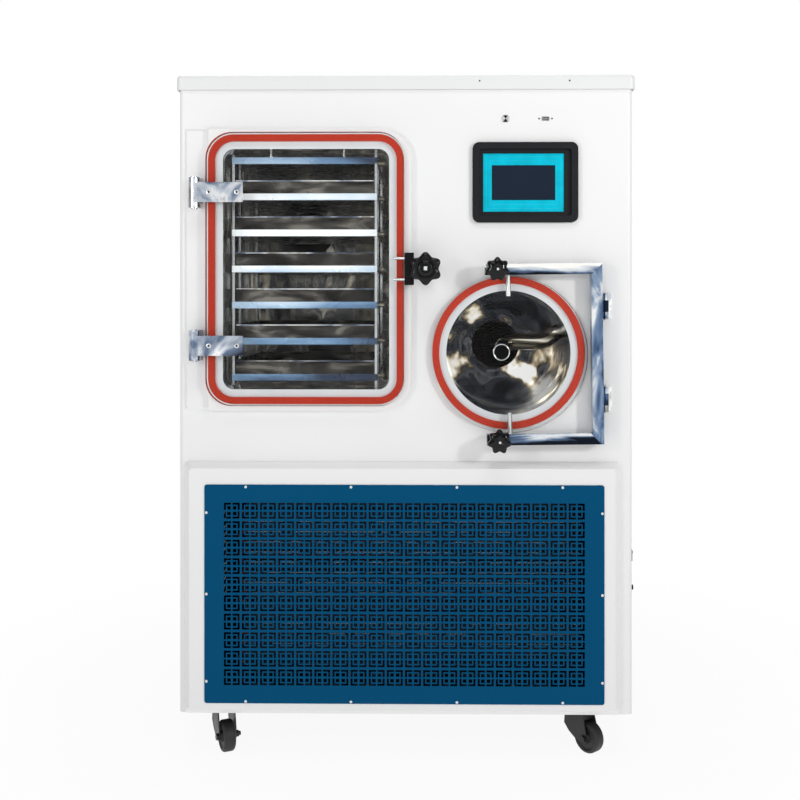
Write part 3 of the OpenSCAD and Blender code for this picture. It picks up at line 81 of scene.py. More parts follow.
def piece(name, verts, faces, body, material, smooth=True):
    """A mesh object that rides on a body, with its material."""
    mesh = bpy.data.meshes.new(name)
    mesh.from_pydata([tuple(v) for v in verts], [], faces)
    mesh.update()
    obj = bpy.data.objects.new(name, mesh)
    bpy.context.scene.collection.objects.link(obj)
    tidy = bmesh.new()
    tidy.from_mesh(mesh)
    bmesh.ops.recalc_face_normals(tidy, faces=tidy.faces)
    tidy.to_mesh(mesh)
    tidy.free()
    if smooth:
        mesh.shade_smooth()
        mesh.set_sharp_from_angle(angle=math.radians(35))
    mesh.materials.append(material)
    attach(obj, body)
    return obj


class Shape:
    """Collects the vertices and faces of several small forms for one piece."""

    def __init__(self):
        self.verts = []
        self.faces = []

    def add(self, verts, faces):
        base = len(self.verts)
        self.verts += verts
        self.faces += [[base + i for i in face] for face in faces]

    def rings(self, rows):
        """A skin through equal rings of points, closed at both ends."""
        n = len(rows[0])
        faces = []
        for r in range(len(rows) - 1):
            for k in range(n):
                j = (k + 1) % n
                faces.append([r * n + k, r * n + j, (r + 1) * n + j, (r + 1) * n + k])
        faces.append(list(range(n))[::-1])
        faces.append([(len(rows) - 1) * n + k for k in range(n)])
        self.add([v for row in rows for v in row], faces)

    def bar(self, low, high):
        """A box between two corners."""
        (a, b, c), (d, e, f) = low, high
        ring = lambda y: [Vector(p) for p in ((a, y, c), (d, y, c), (d, y, f), (a, y, f))]
        self.rings([ring(b), ring(e)])

    def make(self, name, body, finish, slot=None, smooth=True):
        """The finished piece, in the material of its finish; slot is not used."""
        material = LOOKS[finish].material
        return piece(name, self.verts, self.faces, body, material, smooth)


def frame_axes(normal):
    """Two directions square to a normal."""
    n = Vector(normal).normalized()
    u = n.orthogonal().normalized()
    return n, u, n.cross(u)


def turned(shape, at, normal, profile, sides=28, rim=None):
    """A turned form: profile points are (radius, height), rim may change the radius by angle."""
    n, u, v = frame_axes(normal)
    rows = []
    for step, (radius, height) in enumerate(profile):
        row = []
        for k in range(sides):
            a = 2 * math.pi * k / sides
            r = radius * (rim(step, a) if rim else 1)
            row.append(Vector(at) + n * height + (u * math.cos(a) + v * math.sin(a)) * r)
        rows.append(row)
    shape.rings(rows)


def polygon_rim(sides, a):
    """Radius factor of a regular polygon at an angle."""
    half = math.pi / sides
    return math.cos(half) / math.cos((a % (2 * half)) - half)


def socket_screw(shape, at, normal, radius, height):
    """A round screw head with a hexagon socket."""
    profile = [
        (radius, 0),
        (radius, height * 0.55),
        (radius * 0.88, height * 0.9),
        (radius * 0.7, height),
        (radius * 0.5, height),
        (radius * 0.48, height * 0.35),
    ]
    turned(shape, at, normal, profile, rim=lambda step, a: polygon_rim(6, a) if step > 3 else 1)


# ------------------------------------------------------------------ materials


class Tree:
    """Adds nodes to a node tree, each helper giving the socket of its result."""

    def __init__(self, tree):
        self.tree = tree

    def node(self, kind, **settings):
        made = self.tree.nodes.new(kind)
        for key, value in settings.items():
            setattr(made, key, value)
        return made

    def link(self, source, target):
        self.tree.links.new(source, target)

    def feed(self, sockets, values):
        """Sets or links each socket, by whether its value is a constant or a socket."""
        for socket, value in zip(sockets, values):
            if isinstance(value, (int, float, tuple)):
                socket.default_value = value
            else:
                self.link(value, socket)

    def noise_at(self, vector, scale, detail, warp):
        made = self.node("ShaderNodeTexNoise")
        sockets = [made.inputs[name] for name in ("Vector", "Scale", "Detail", "Distortion")]
        self.feed(sockets, (vector, scale, detail, warp))
        return made.outputs["Fac"]

    def spread(self, value, low, high, start=0.3, end=0.7, curve="LINEAR"):
        """Maps a value from one range to another; noise lies mostly in the default one."""
        made = self.node("ShaderNodeMapRange", interpolation_type=curve)
        sockets = [made.inputs[name] for name in ("Value", "From Min", "From Max", "To Min", "To Max")]
        self.feed(sockets, (value, start, end, low, high))
        return made.outputs["Result"]

    def math(self, operation, *values):
        made = self.node("ShaderNodeMath", operation=operation)
        self.feed(made.inputs, values)
        return made.outputs[0]

    def mix(self, factor, a, b):
        """Mixes two colours, each a tuple or a socket."""
        made = self.node("ShaderNodeMix", data_type="RGBA")
        self.feed((made.inputs[0], made.inputs[6], made.inputs[7]), (factor, a, b))
        return made.outputs[2]

    def mix_shader(self, factor, a, b):
        """The first shader where the factor is nought, the second where it is one."""
        made = self.node("ShaderNodeMixShader")
        self.feed(made.inputs, (factor, a, b))
        return made.outputs[0]

    def distance(self, x, z):
        """Length of a flat vector, given as two sockets."""
        squares = [self.math("POWER", v, 2.0) for v in (x, z)]
        return self.math("SQRT", self.math("ADD", *squares))

    def ramp(self, factor, stops):
        """Turns a value into a colour through (position, colour) stops."""
        made = self.node("ShaderNodeValToRGB")
        elements = made.color_ramp.elements
        for element, (position, colour) in zip(elements, (stops[0], stops[-1])):
            element.position, element.color = position, colour
        for position, colour in stops[1:-1]:
            elements.new(position).color = colour
        self.link(factor, made.inputs["Fac"])
        return made.outputs["Color"]

    def split(self, vector):
        made = self.node("ShaderNodeSeparateXYZ")
        self.link(vector, made.inputs[0])
        return made.outputs

    def join(self, x, y, z):
        """A vector from three sockets."""
        made = self.node("ShaderNodeCombineXYZ")
        self.feed(made.inputs, (x, y, z))
        return made.outputs[0]


class Look(Tree):
    """A Principled material whose patterns lie in the part's own metres."""

    def __init__(self, name, colour, rough=0.5, metal=0.0):
        self.material = bpy.data.materials.new(name)
        self.material.use_nodes = True
        super().__init__(self.material.node_tree)
        self.bsdf = self.tree.nodes["Principled BSDF"]
        self.put("Metallic", metal)
        self.put("Roughness", rough)
        self.put("Base Color", colour)
        self.colour = colour

    def put(self, socket, value):
        """Sets one of the shader's own sockets."""
        self.bsdf.inputs[socket].default_value = value

    def drive(self, socket, source):
        """Links a value to one of the shader's own sockets."""
        self.link(source, self.bsdf.inputs[socket])

    def place(self):
        return self.node("ShaderNodeTexCoord").outputs["Object"]

    def position(self):
        return self.split(self.place())

    def normal(self):
        return self.split(self.node("ShaderNodeNewGeometry").outputs["Normal"])

    def faces_front(self, limit):
        """One where the surface's normal points to the front by more than a limit."""
        return self.math("LESS_THAN", self.normal()["Y"], -limit)

    def noise(self, scale, detail=3.0, stretch=(1, 1, 1), warp=0.0):
        """Noise over the part's own metres, finer along an axis that is stretched."""
        mapping = self.node("ShaderNodeMapping")
        mapping.inputs["Scale"].default_value = stretch
        self.link(self.place(), mapping.inputs["Vector"])
        return self.noise_at(mapping.outputs["Vector"], scale, detail, warp)

    def paint_over(self, mask, colour):
        """Lays another colour over the base colour where a mask is one."""
        base = self.bsdf.inputs["Base Color"]
        self.link(self.mix(mask, base.links[0].from_socket, colour), base)

    def give_way(self, factor, shader):
        """Lets another shader take over from the material's own by a factor."""
        mixed = self.mix_shader(factor, self.bsdf.outputs[0], shader.outputs[0])
        self.link(mixed, self.tree.nodes["Material Output"].inputs["Surface"])

    def tone(self, amount, scale, detail=3.0, stretch=(1, 1, 1)):
        """Lets the colour wander a little over the surface."""
        factor = self.spread(self.noise(scale, detail, stretch), 0, 1)
        made = self.mix(factor, shade(self.colour, 1 - amount), shade(self.colour, 1 + amount))
        self.drive("Base Color", made)
        return made

    def sheen_swing(self, low, high, scale, detail=3.0, warp=0.0):
        """Lets the roughness wander between two values."""
        self.drive("Roughness", self.spread(self.noise(scale, detail, warp=warp), low, high))

    def relief(self, height, depth, edge=0.0):
        """Bump from a height, over edges rounded by a radius."""
        bump = self.node("ShaderNodeBump")
        bump.inputs["Distance"].default_value = depth
        self.link(height, bump.inputs["Height"])
        if edge:
            bevel = self.node("ShaderNodeBevel", samples=4)
            bevel.inputs["Radius"].default_value = edge
            self.link(bevel.outputs["Normal"], bump.inputs["Normal"])
        self.drive("Normal", bump.outputs["Normal"])


def powder_coat(name, colour, rough=0.4, edge=0.0015, gloss=0.5):
    look = Look(name, colour, rough)
    look.put("Specular IOR Level", gloss)
    look.tone(0.015, 2.5)
    look.sheen_swing(rough - 0.05, rough + 0.05, 14)
    look.relief(look.noise(420, 2), 0.00012, edge)
    return look


SIDE_FROM = 500 * MM  # the side panels' sheet lies farther from the middle than this


def cabinet_coat():
    """White outside; the insides of the side panels get little light and are painted dark grey as painted shade.
    """
    look = powder_coat("cabinet_paint", srgb(238, 238, 238), 0.42)
    side = look.position()["X"]
    at_side = look.math("GREATER_THAN", look.math("ABSOLUTE", side), SIDE_FROM)
    outward = look.math("MULTIPLY", look.math("SIGN", side), look.normal()["X"])
    inward_shade = look.math("LESS_THAN", outward, -0.5)
    # Painted shade: faces of the side panels that turn inward are painted dark grey.
    look.paint_over(look.math("MULTIPLY", at_side, inward_shade), srgb(60, 60, 62))
    return look


def brushed(name, colour, rough, swing=0.12):
    """Brushed steel with level grain."""
    stretch = (1, 1, 60)
    look = Look(name, colour, rough, 1.0)
    look.tone(0.1, 9, 4, stretch=tuple(0.2 + 0.8 * s / max(stretch) for s in stretch))
    look.sheen_swing(max(rough - swing, 0.03), rough + swing, 5, 5, warp=0.8)
    look.relief(look.noise(60, 3, stretch), 0.00006, 0.0008)
    return look


def polished(name, colour, rough=0.1, ripple=0.0016, tone=0.25):
    """Bright sheet steel with the slow ripples of hand polishing."""
    look = Look(name, colour, rough, 1.0)
    look.tone(tone, 6, 4)
    look.sheen_swing(rough * 0.5, rough * 1.8, 9, 5, warp=1.2)
    look.relief(look.noise(11, 2.5, warp=0.6), ripple)
    return look


def vessel_steel(name, node, pattern, ripple, glow):
    """A mirror-polished vessel whose colour is painted reflections as streaks, which also glow as painted light,
    behind a satin flange ring.
    """
    look = Look(name, srgb(120, 120, 120), 0.1, 1.0)
    painted_reflections = pattern(look)
    look.sheen_swing(0.05, 0.2, 9, 5, warp=1.2)
    look.relief(look.noise(9, 2.5, warp=0.8), ripple)
    is_front = look.math("LESS_THAN", look.position()["Y"], face_of(node) + 2 * MM)
    is_flange = look.math("MULTIPLY", is_front, look.faces_front(0.7))
    satin = look.mix(look.noise(14, 2), srgb(216, 217, 220), srgb(230, 230, 232))
    look.drive("Base Color", look.mix(is_flange, painted_reflections, satin))
    # Painted light: the painted reflections glow, except on the flange ring.
    look.drive("Emission Color", painted_reflections)
    look.drive("Emission Strength", look.spread(is_flange, glow, 0.0, 0, 1))
    look.drive("Metallic", look.spread(is_flange, 0.7, 0.1, 0, 1))
    return look


TRAP_R = 150 * MM
# Painted highlights in the trap: X and Z of the middle and reach, as shares of its radius, then strength
TRAP_GLINTS = (
    (-0.86, 0.14, 0.3, 0.24), (-0.88, -0.3, 0.46, 0.36), (-0.42, 0.64, 0.24, 0.22), (0.8, 0.45, 0.2, 0.16),
    (0.3, -0.3, 0.34, 0.34), (0.56, -0.55, 0.28, 0.26), (0.85, -0.25, 0.36, 0.18), (-0.3, -0.7, 0.4, 0.05),
)
# Tones of the trap's painted reflections
TRAP_TONES = [
    (0.28, srgb(8, 8, 10)), (0.34, srgb(22, 23, 26)),
    (0.38, srgb(48, 50, 56)), (0.41, srgb(20, 20, 22)),
    (0.45, srgb(76, 78, 84)), (0.5, srgb(50, 46, 38)), (0.55, srgb(150, 136, 110)),
    (0.6, srgb(232, 224, 206)), (0.66, srgb(252, 252, 250)),
]


def trap_painted_reflections(look):
    """Painted reflections: arcs about the trap's axis, dark above and below, with painted highlights left and
    lower right.
    """
    mid = middle("trap_disc")
    at = look.position()
    x, z = (look.math("DIVIDE", look.math("SUBTRACT", at[axis], value), TRAP_R)
            for axis, value in (("X", mid.x), ("Z", mid.z)))
    radius = look.distance(x, z)
    around = [look.math("DIVIDE", v, look.math("ADD", radius, 0.05)) for v in (x, z)]
    arcs_inward, arcs_in_depth = 2.6, 5.0
    inward = look.math("MULTIPLY", radius, arcs_inward)
    third = look.math("ADD", inward, look.math("MULTIPLY", at["Y"], arcs_in_depth))
    swirl = look.noise_at(look.join(*around, third), 1.15, 4, 0.7)
    wobble = look.spread(look.noise(13, 2.5, warp=0.5), -0.16, 0.16)
    swirl_weight = 0.75
    total = look.math("MULTIPLY", swirl, swirl_weight)
    for glint_x, glint_z, size, gain in TRAP_GLINTS:
        away = look.distance(look.math("SUBTRACT", x, glint_x), look.math("SUBTRACT", z, glint_z))
        near = look.spread(look.math("ADD", away, wobble), gain, 0.0, 0.0, size)
        total = look.math("ADD", total, near)
    return look.ramp(total, TRAP_TONES)


# Tones of the chamber's painted reflections, and of the pale column painted on its back wall
CHAMBER_TONES = [
    (0.36, srgb(14, 14, 15)), (0.44, srgb(44, 44, 44)),
    (0.5, srgb(84, 82, 78)), (0.54, srgb(46, 48, 52)),
    (0.6, srgb(126, 122, 112)), (0.66, srgb(176, 168, 150)), (0.72, srgb(236, 232, 220)),
]
COLUMN_TONES = [(0.4, srgb(150, 142, 118)), (0.52, srgb(190, 182, 158)), (0.62, srgb(222, 216, 198))]
COLUMN_IN_LEFT, COLUMN_HALF = 345 * MM, 26 * MM


def chamber_painted_reflections(look):
    """Painted reflections on the polished walls: upright bands on the back wall, with a pale column at its right,
    and smudges.
    """
    low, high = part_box("chamber_shell")
    at = look.position()
    off_column = look.math("ABSOLUTE", look.math("SUBTRACT", at["X"], low.x + COLUMN_IN_LEFT))
    is_column = look.math("LESS_THAN", off_column, COLUMN_HALF)
    in_rear_half = look.math("GREATER_THAN", at["Y"], (low.y + high.y) / 2)
    is_back = look.math("MULTIPLY", look.faces_front(0.7), in_rear_half)
    smudge_weight = 0.55
    smudge = look.math("MULTIPLY", look.noise(9, 4, (1, 1, 0.8), 1.6), smudge_weight)
    bands = look.math("MULTIPLY", look.noise(26, 2, (1, 1, 0.03)), 1 - smudge_weight)
    factor = look.math("ADD", smudge, bands)
    wall = look.ramp(factor, CHAMBER_TONES)
    pale_reflection = look.ramp(factor, COLUMN_TONES)
    return look.mix(look.math("MULTIPLY", is_back, is_column), wall, pale_reflection)


def moulded(name, colour, rough=0.45, grain=0.00008, edge=0.0008, gloss=0.5):
    look = Look(name, colour, rough)
    look.put("Specular IOR Level", gloss)
    look.tone(0.12, 30)
    look.sheen_swing(rough - 0.06, rough + 0.08, 40)
    look.relief(look.noise(900, 2), grain, edge)
    return look


def knob_gloss():
    """Black phenolic with a hard gloss."""
    look = Look("knob_plastic", srgb(8, 8, 10), 0.05)
    look.put("Specular IOR Level", 0.3)
    look.tone(0.12, 30)
    look.sheen_swing(0.02, 0.07, 20)
    look.relief(look.noise(300, 2), 0.000004, 0.0006)
    return look


BUTTON_DOME_R = 8 * MM


def bright_steel():
    """Bright turned steel; on the button's dome two dark wedges are painted as reflections of dark floor and
    ceiling.
    """
    look = polished("bright_steel", srgb(208, 208, 206), 0.24, 0.0001, 0.1)
    at, mid = look.position(), middle("push_button")
    across, up = (look.math("ABSOLUTE", look.math("SUBTRACT", at[axis], value))
                  for axis, value in (("X", mid.x), ("Z", mid.z)))
    # Painted reflection: the dome is painted dark above and below its middle, in two wedges.
    near = look.math("LESS_THAN", look.math("MAXIMUM", across, up), BUTTON_DOME_R)
    wedge_slope = 1.2
    is_painted_reflection = look.math("GREATER_THAN", up, look.math("MULTIPLY", across, wedge_slope))
    look.paint_over(look.math("MULTIPLY", near, is_painted_reflection), srgb(44, 44, 46))
    return look


# Real acrylic has 1.49, which lays a grey veil over what the sheet covers
ACRYLIC_IOR = 1.15


def clear_acrylic():
    """Clear sheet with tinted edges that lets lamp light through to what it covers."""
    look = Look("clear_acrylic", (0.985, 0.995, 0.995, 1), 0.0)
    look.put("Transmission Weight", 1.0)
    look.put("IOR", ACRYLIC_IOR)
    look.put("Specular IOR Level", 0.1)
    look.sheen_swing(0.0, 0.03, 3, 2)
    facing = look.split(look.node("ShaderNodeTexCoord").outputs["Normal"])["Y"]
    is_edge = look.math("LESS_THAN", look.math("ABSOLUTE", facing), 0.6)
    tint = look.mix(is_edge, (0.98, 0.99, 0.99, 1), (0.42, 0.55, 0.56, 1))
    look.drive("Base Color", tint)
    path = look.node("ShaderNodeLightPath")
    through = look.node("ShaderNodeBsdfTransparent")
    through.inputs["Color"].default_value = (0.96, 0.98, 0.98, 1)
    unbent = look.math("MAXIMUM", path.outputs["Is Shadow Ray"], path.outputs["Is Diffuse Ray"])
    look.give_way(unbent, through)
    return look


YOKE_LINK, YOKE_TUBE = 11 * MM, 25 * MM
# Tones of the yoke's painted reflections, on the arms and on the post
YOKE_ARM_TONES = [
    (0.34, srgb(24, 30, 40)), (0.43, srgb(96, 116, 146)),
    (0.52, srgb(206, 214, 222)), (0.6, srgb(250, 249, 246)),
]
YOKE_POST_TONES = [
    (0.36, srgb(34, 44, 60)), (0.45, srgb(88, 112, 146)),
    (0.54, srgb(142, 160, 184)), (0.64, srgb(236, 238, 240)),
]


def yoke_steel():
    """Square tube brushed along its length, with the grain meeting at mitred corners; its colour is painted
    reflections and painted shade.
    """
    look = brushed("yoke_steel", srgb(214, 217, 222), 0.2, 0.1)
    low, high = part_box("yoke")
    mid_z = (low.z + high.z) / 2
    at = look.position()
    post_side = joints["yoke_swing"]["pos_m"][0] - YOKE_LINK
    from_side = look.math("SUBTRACT", post_side, at["X"])
    height = look.math("ABSOLUTE", look.math("SUBTRACT", at["Z"], mid_z))
    from_end = look.math("SUBTRACT", (high.z - low.z) / 2, height)
    is_arm = look.math("LESS_THAN", from_end, from_side)
    is_low = look.math("LESS_THAN", at["Z"], mid_z)
    share = look.spread(from_end, 0, 1, 0, YOKE_TUBE)
    rise = look.math("ABSOLUTE", look.math("SUBTRACT", look.math("SUBTRACT", 1.0, is_low), share))
    # Painted shade: each arm is brighter towards its upper edge, and the lower arm is darker all over
    across_gain, low_shift, arm_loss = 0.34, -0.2, 0.16
    across = look.math("MULTIPLY", rise, across_gain)
    arm_painted_shade = look.math("ADD", across, look.math("MULTIPLY", is_low, low_shift))
    along_arm = look.math("ADD", look.noise(17, 4, (0.3, 1, 2.2), 0.4), look.math("SUBTRACT", arm_painted_shade, arm_loss))
    arm = look.ramp(along_arm, YOKE_ARM_TONES)
    post = look.ramp(look.noise(15, 5, (1.6, 1, 0.5), 0.8), YOKE_POST_TONES)
    look.drive("Base Color", look.mix(is_arm, post, arm))
    return look


# Radians a metre: fins 2.6 mm apart, rows of tube 25 mm apart
FIN_WAVE, ROW_WAVE = 2400, 250


def coil_metal():
    """Aluminium fins as fine upright lines, painted near black as painted shade, with pale dashes along the tube
    rows as painted highlights, and the tubes' bends in copper at the left.
    """
    look = Look("coil_metal", srgb(92, 94, 96), 0.55, 0.4)
    at = look.position()
    fins = look.math("SINE", look.math("MULTIPLY", at["X"], FIN_WAVE))
    # Painted shade: the fins are painted near black.
    fin_shade = look.mix(look.spread(fins, 0, 1, -1, 1), srgb(8, 10, 14), srgb(34, 40, 50))
    rows = look.math("SINE", look.math("MULTIPLY", at["Z"], ROW_WAVE))
    gaps = look.spread(look.noise(30, 1), 0, 1, 0.45, 0.55)
    # Painted highlights: pale dashes along the rows of tube.
    tube_highlights = look.math("MULTIPLY", look.spread(rows, 0, 1, 0.9, 0.99), gaps)
    body = look.mix(tube_highlights, fin_shade, srgb(150, 156, 164))
    left_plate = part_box("condenser_coil")[0].x + 25 * MM
    is_bend = look.math("LESS_THAN", at["X"], left_plate)
    copper = look.mix(look.noise(40), srgb(44, 22, 14), srgb(120, 66, 42))
    look.drive("Base Color", look.mix(is_bend, body, copper))
    look.relief(look.noise(300), 0.0001)
    return look


PIPE_R = 20 * MM


def pipe_end():
    """Middle of the suction pipe's open end in the trap."""
    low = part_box("suction_pipe")[0]
    return Vector((low.x + PIPE_R, low.y, low.z + PIPE_R))


# Tones of the pipe's painted reflections
PIPE_TONES = [
    (0.38, srgb(30, 29, 27)), (0.47, srgb(120, 112, 94)),
    (0.54, srgb(236, 232, 222)), (0.62, srgb(84, 80, 72)),
]


def pipe_steel():
    """Polished pipe with painted reflections, and its bore painted near black as painted shade."""
    look = mirror_sheet("pipe_steel", PIPE_TONES, 9, 0.1, 0.0006, (0.2, 1, 3))
    at, mouth = look.position(), pipe_end()
    away = [look.math("POWER", look.math("SUBTRACT", at[axis], value), 2.0)
            for axis, value in (("X", mouth.x), ("Z", mouth.z))]
    # Painted shade: the inside of the bore is painted near black.
    bore_shade = look.math("LESS_THAN", look.math("ADD", *away), (PIPE_R - MM) ** 2)
    look.paint_over(bore_shade, srgb(9, 9, 10))
    return look


# Tones of the painted reflections on the shelves' front edges
SHELF_EDGE_TONES = [
    (0.05, srgb(38, 52, 76)), (0.3, srgb(104, 136, 170)),
    (0.55, srgb(186, 208, 228)), (0.8, srgb(248, 250, 252)),
]
SHELF_BEST_HEIGHT = 0.65


def shelf_steel():
    """Satin shelf plates; their ground front edges carry painted reflections that glow a little as painted light,
    brightest two thirds up and fading most at the right.
    """
    look = polished("shelf_steel", srgb(186, 188, 190), 0.2, 0.0006, 0.15)
    low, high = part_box("shelf_stack")
    at = look.position()
    at_front = look.math("LESS_THAN", at["Y"], low.y + MM)
    is_front = look.math("MULTIPLY", at_front, look.faces_front(0.6))
    height = look.spread(at["Z"], 0, 1, low.z, high.z)
    across = look.spread(at["X"], 0, 1, low.x, high.x)
    off_best = look.math("ABSOLUTE", look.math("SUBTRACT", height, SHELF_BEST_HEIGHT))
    from_best = look.math("MINIMUM", off_best, 0.34)
    fall_across, fall_away = 1.2, 1.6
    falling = look.math("MULTIPLY", look.math("MULTIPLY", from_best, across), fall_across)
    patches = look.spread(look.noise(3.2, 3, (1, 1, 5)), -0.22, 0.22)
    start = look.math("SUBTRACT", 1.0, look.math("MULTIPLY", from_best, fall_away))
    reflection_brightness = look.math("ADD", look.math("SUBTRACT", start, falling), patches)
    edge = look.ramp(reflection_brightness, SHELF_EDGE_TONES)
    look.drive("Base Color", look.mix(is_front, look.tone(0.2, 5, 4), edge))
    # Painted light: the edges' painted reflections also glow a little.
    look.drive("Emission Color", edge)
    look.drive("Emission Strength", look.spread(is_front, 0.0, 0.2, 0, 1))
    look.drive("Metallic", look.spread(is_front, 1.0, 0.3, 0, 1))
    return look


def mirror_sheet(name, tones, scale, rough=0.16, ripple=0.001, stretch=(1, 1, 1)):
    """Polished plate whose colour is painted reflections of its surroundings, as soft patches of dark, blue and
    white.
    """
    look = Look(name, srgb(200, 204, 210), rough, 1.0)
    look.drive("Base Color", look.ramp(look.noise(scale, 4, stretch, 0.9), tones))
    look.sheen_swing(rough * 0.6, rough * 1.6, 9, 5, warp=1.2)
    look.relief(look.noise(11, 2.5, warp=0.6), ripple)
    return look


def braided_hose():
    look = Look("hose_steel", srgb(206, 200, 184), 0.28, 0.8)
    look.tone(0.4, 60)
    wave = look.node("ShaderNodeTexWave", wave_type="BANDS", bands_direction="DIAGONAL")
    wave.inputs["Scale"].default_value = 120
    look.link(look.place(), wave.inputs["Vector"])
    look.relief(wave.outputs["Fac"], 0.0006)
    return look


def rubber(name, colour, rough=0.6, gloss=0.5):
    look = Look(name, colour, rough)
    look.put("Specular IOR Level", gloss)
    look.tone(0.06, 12)
    look.sheen_swing(rough - 0.08, rough + 0.1, 25)
    look.relief(look.noise(700, 2), 0.00008, 0.0008)
    return look


def screen_glass():
    look = Look("screen_glass", srgb(16, 30, 48), 0.12)
    look.put("Specular IOR Level", 0.15)
    look.tone(0.12, 12, 2)
    look.sheen_swing(0.08, 0.2, 8)
    return look


# Tones of the painted reflections on the trays' fronts and on the hinges
TRAY_TONES = [
    (0.34, srgb(30, 29, 28)), (0.46, srgb(50, 48, 46)),
    (0.56, srgb(70, 68, 64)), (0.66, srgb(112, 108, 102)),
]
HINGE_TONES = [
    (0.36, srgb(34, 40, 50)), (0.45, srgb(110, 126, 150)),
    (0.51, srgb(200, 208, 218)), (0.57, srgb(252, 252, 252)),
    (0.68, srgb(150, 146, 138)),
]
LOOKS = {
    "cabinet_paint": cabinet_coat(),
    "cap_paint": powder_coat("cap_paint", srgb(228, 229, 229), 0.36),
    "frame_paint": powder_coat("frame_paint", srgb(64, 66, 70), 0.6),
    "grille_paint": powder_coat("grille_paint", srgb(0, 76, 116), 0.45, 0.0004, 0.05),
    "chamber_steel": vessel_steel("chamber_steel", "chamber_shell", chamber_painted_reflections, 0.0018, 0.34),
    "shelf_steel": shelf_steel(),
    "tray_steel": mirror_sheet("tray_steel", TRAY_TONES, 16, 0.34, 0.0003, (0.6, 1, 2)),
    "hose_steel": braided_hose(),
    "gasket_rubber": rubber("gasket_rubber", srgb(190, 54, 34), 0.5, 0.15),
    "clear_acrylic": clear_acrylic(),
    "hinge_steel": mirror_sheet("hinge_steel", HINGE_TONES, 8, ripple=0.0016),
    "bright_steel": bright_steel(),
    "black_plastic": moulded("black_plastic", srgb(14, 14, 16), 0.3, gloss=0.12),
    "knob_plastic": knob_gloss(),
    "trap_steel": vessel_steel("trap_steel", "trap_vessel", trap_painted_reflections, 0.002, 0.75),
    "pipe_steel": pipe_steel(),
    "yoke_steel": yoke_steel(),
    "screen_frame": moulded("screen_frame", srgb(22, 23, 27), 0.4, gloss=0.2),
    "screen_panel": moulded("screen_panel", srgb(0, 190, 216), 0.4, 0.00002, gloss=0.1),
    "port_metal": brushed("port_metal", srgb(176, 176, 178), 0.3),
    "rocker_plastic": moulded("rocker_plastic", srgb(170, 30, 26), 0.25),
    "coil_metal": coil_metal(),
    "fan_metal": powder_coat("fan_metal", srgb(40, 41, 44), 0.5),
    "compressor_paint": powder_coat("compressor_paint", srgb(22, 22, 24), 0.3),
    "caster_paint": moulded("caster_paint", srgb(20, 20, 21), 0.4),
    "wheel_rubber": rubber("wheel_rubber", srgb(34, 33, 32), 0.55),
    # Finishes of the fittings that scene.py adds
    "screen_glass": screen_glass(),
    "overlay_line": moulded("overlay_line", srgb(60, 205, 224), 0.4),
    "screw_steel": polished("screw_steel", srgb(222, 224, 226), 0.2, 0.0002, 0.05),
    "dark_steel": brushed("dark_steel", srgb(60, 60, 62), 0.35),
}


def dress_solids():
    """Gives each CAD node the finish of its slot."""
    for part in frame["record"]["subparts"]:
        obj = nodes[part["node"]]
        obj.data.materials.clear()
        obj.data.materials.append(LOOKS[part["material_slot"]].material)
        obj.data.shade_smooth()
        obj.data.set_sharp_from_angle(angle=math.radians(28))


# -------------------------------------------------------------- fine fittings

FRET_COLUMNS, FRET_ROWS = 20, 10
FRET_PITCH = (43.2 * MM, 44.1 * MM)
FRET_SIDE = 38 * MM
FRET_SLOT = 5 * MM
FRET_BRIDGE = 3.4 * MM
FRET_HOLE = 8.5 * MM
FRET_HOLE_PITCH = 13.6 * MM


def fret_holes():
    """Outlines of one square's four corner slots and four small holes, about its middle."""
    a, s, e = FRET_SIDE / 2, FRET_SLOT, FRET_BRIDGE / 2
    corner = [(e, a), (e, a - s), (a - s, a - s), (a - s, e), (a, e), (a, a)]
    h, q = FRET_HOLE / 2, FRET_HOLE_PITCH / 2
    small = [(q - h, q - h), (q + h, q - h), (q + h, q + h), (q - h, q + h)]
    return [[(x * i, z * j) for x, z in hole] for i in (1, -1) for j in (1, -1) for hole in (corner, small)]


def plate_cell(shape, outline, holes, front, back):
    """Adds a flat plate with holes between two Y planes; only the holes get walls."""
    loops = [[Vector((x, 0, z)) for x, z in loop] for loop in [outline] + holes]
    flat = [v for loop in loops for v in loop]
    triangles = [list(t) for t in tessellate_polygon(loops)]
    n = len(flat)
    faces = triangles + [[i + n for i in reversed(t)] for t in triangles]
    base = len(outline)
    for hole in holes:
        m = len(hole)
        faces += [[base + k, base + (k + 1) % m, base + (k + 1) % m + n, base + k + n] for k in range(m)]
        base += m
    shape.add([Vector((v.x, front, v.z)) for v in flat] + [Vector((v.x, back, v.z)) for v in flat], faces)


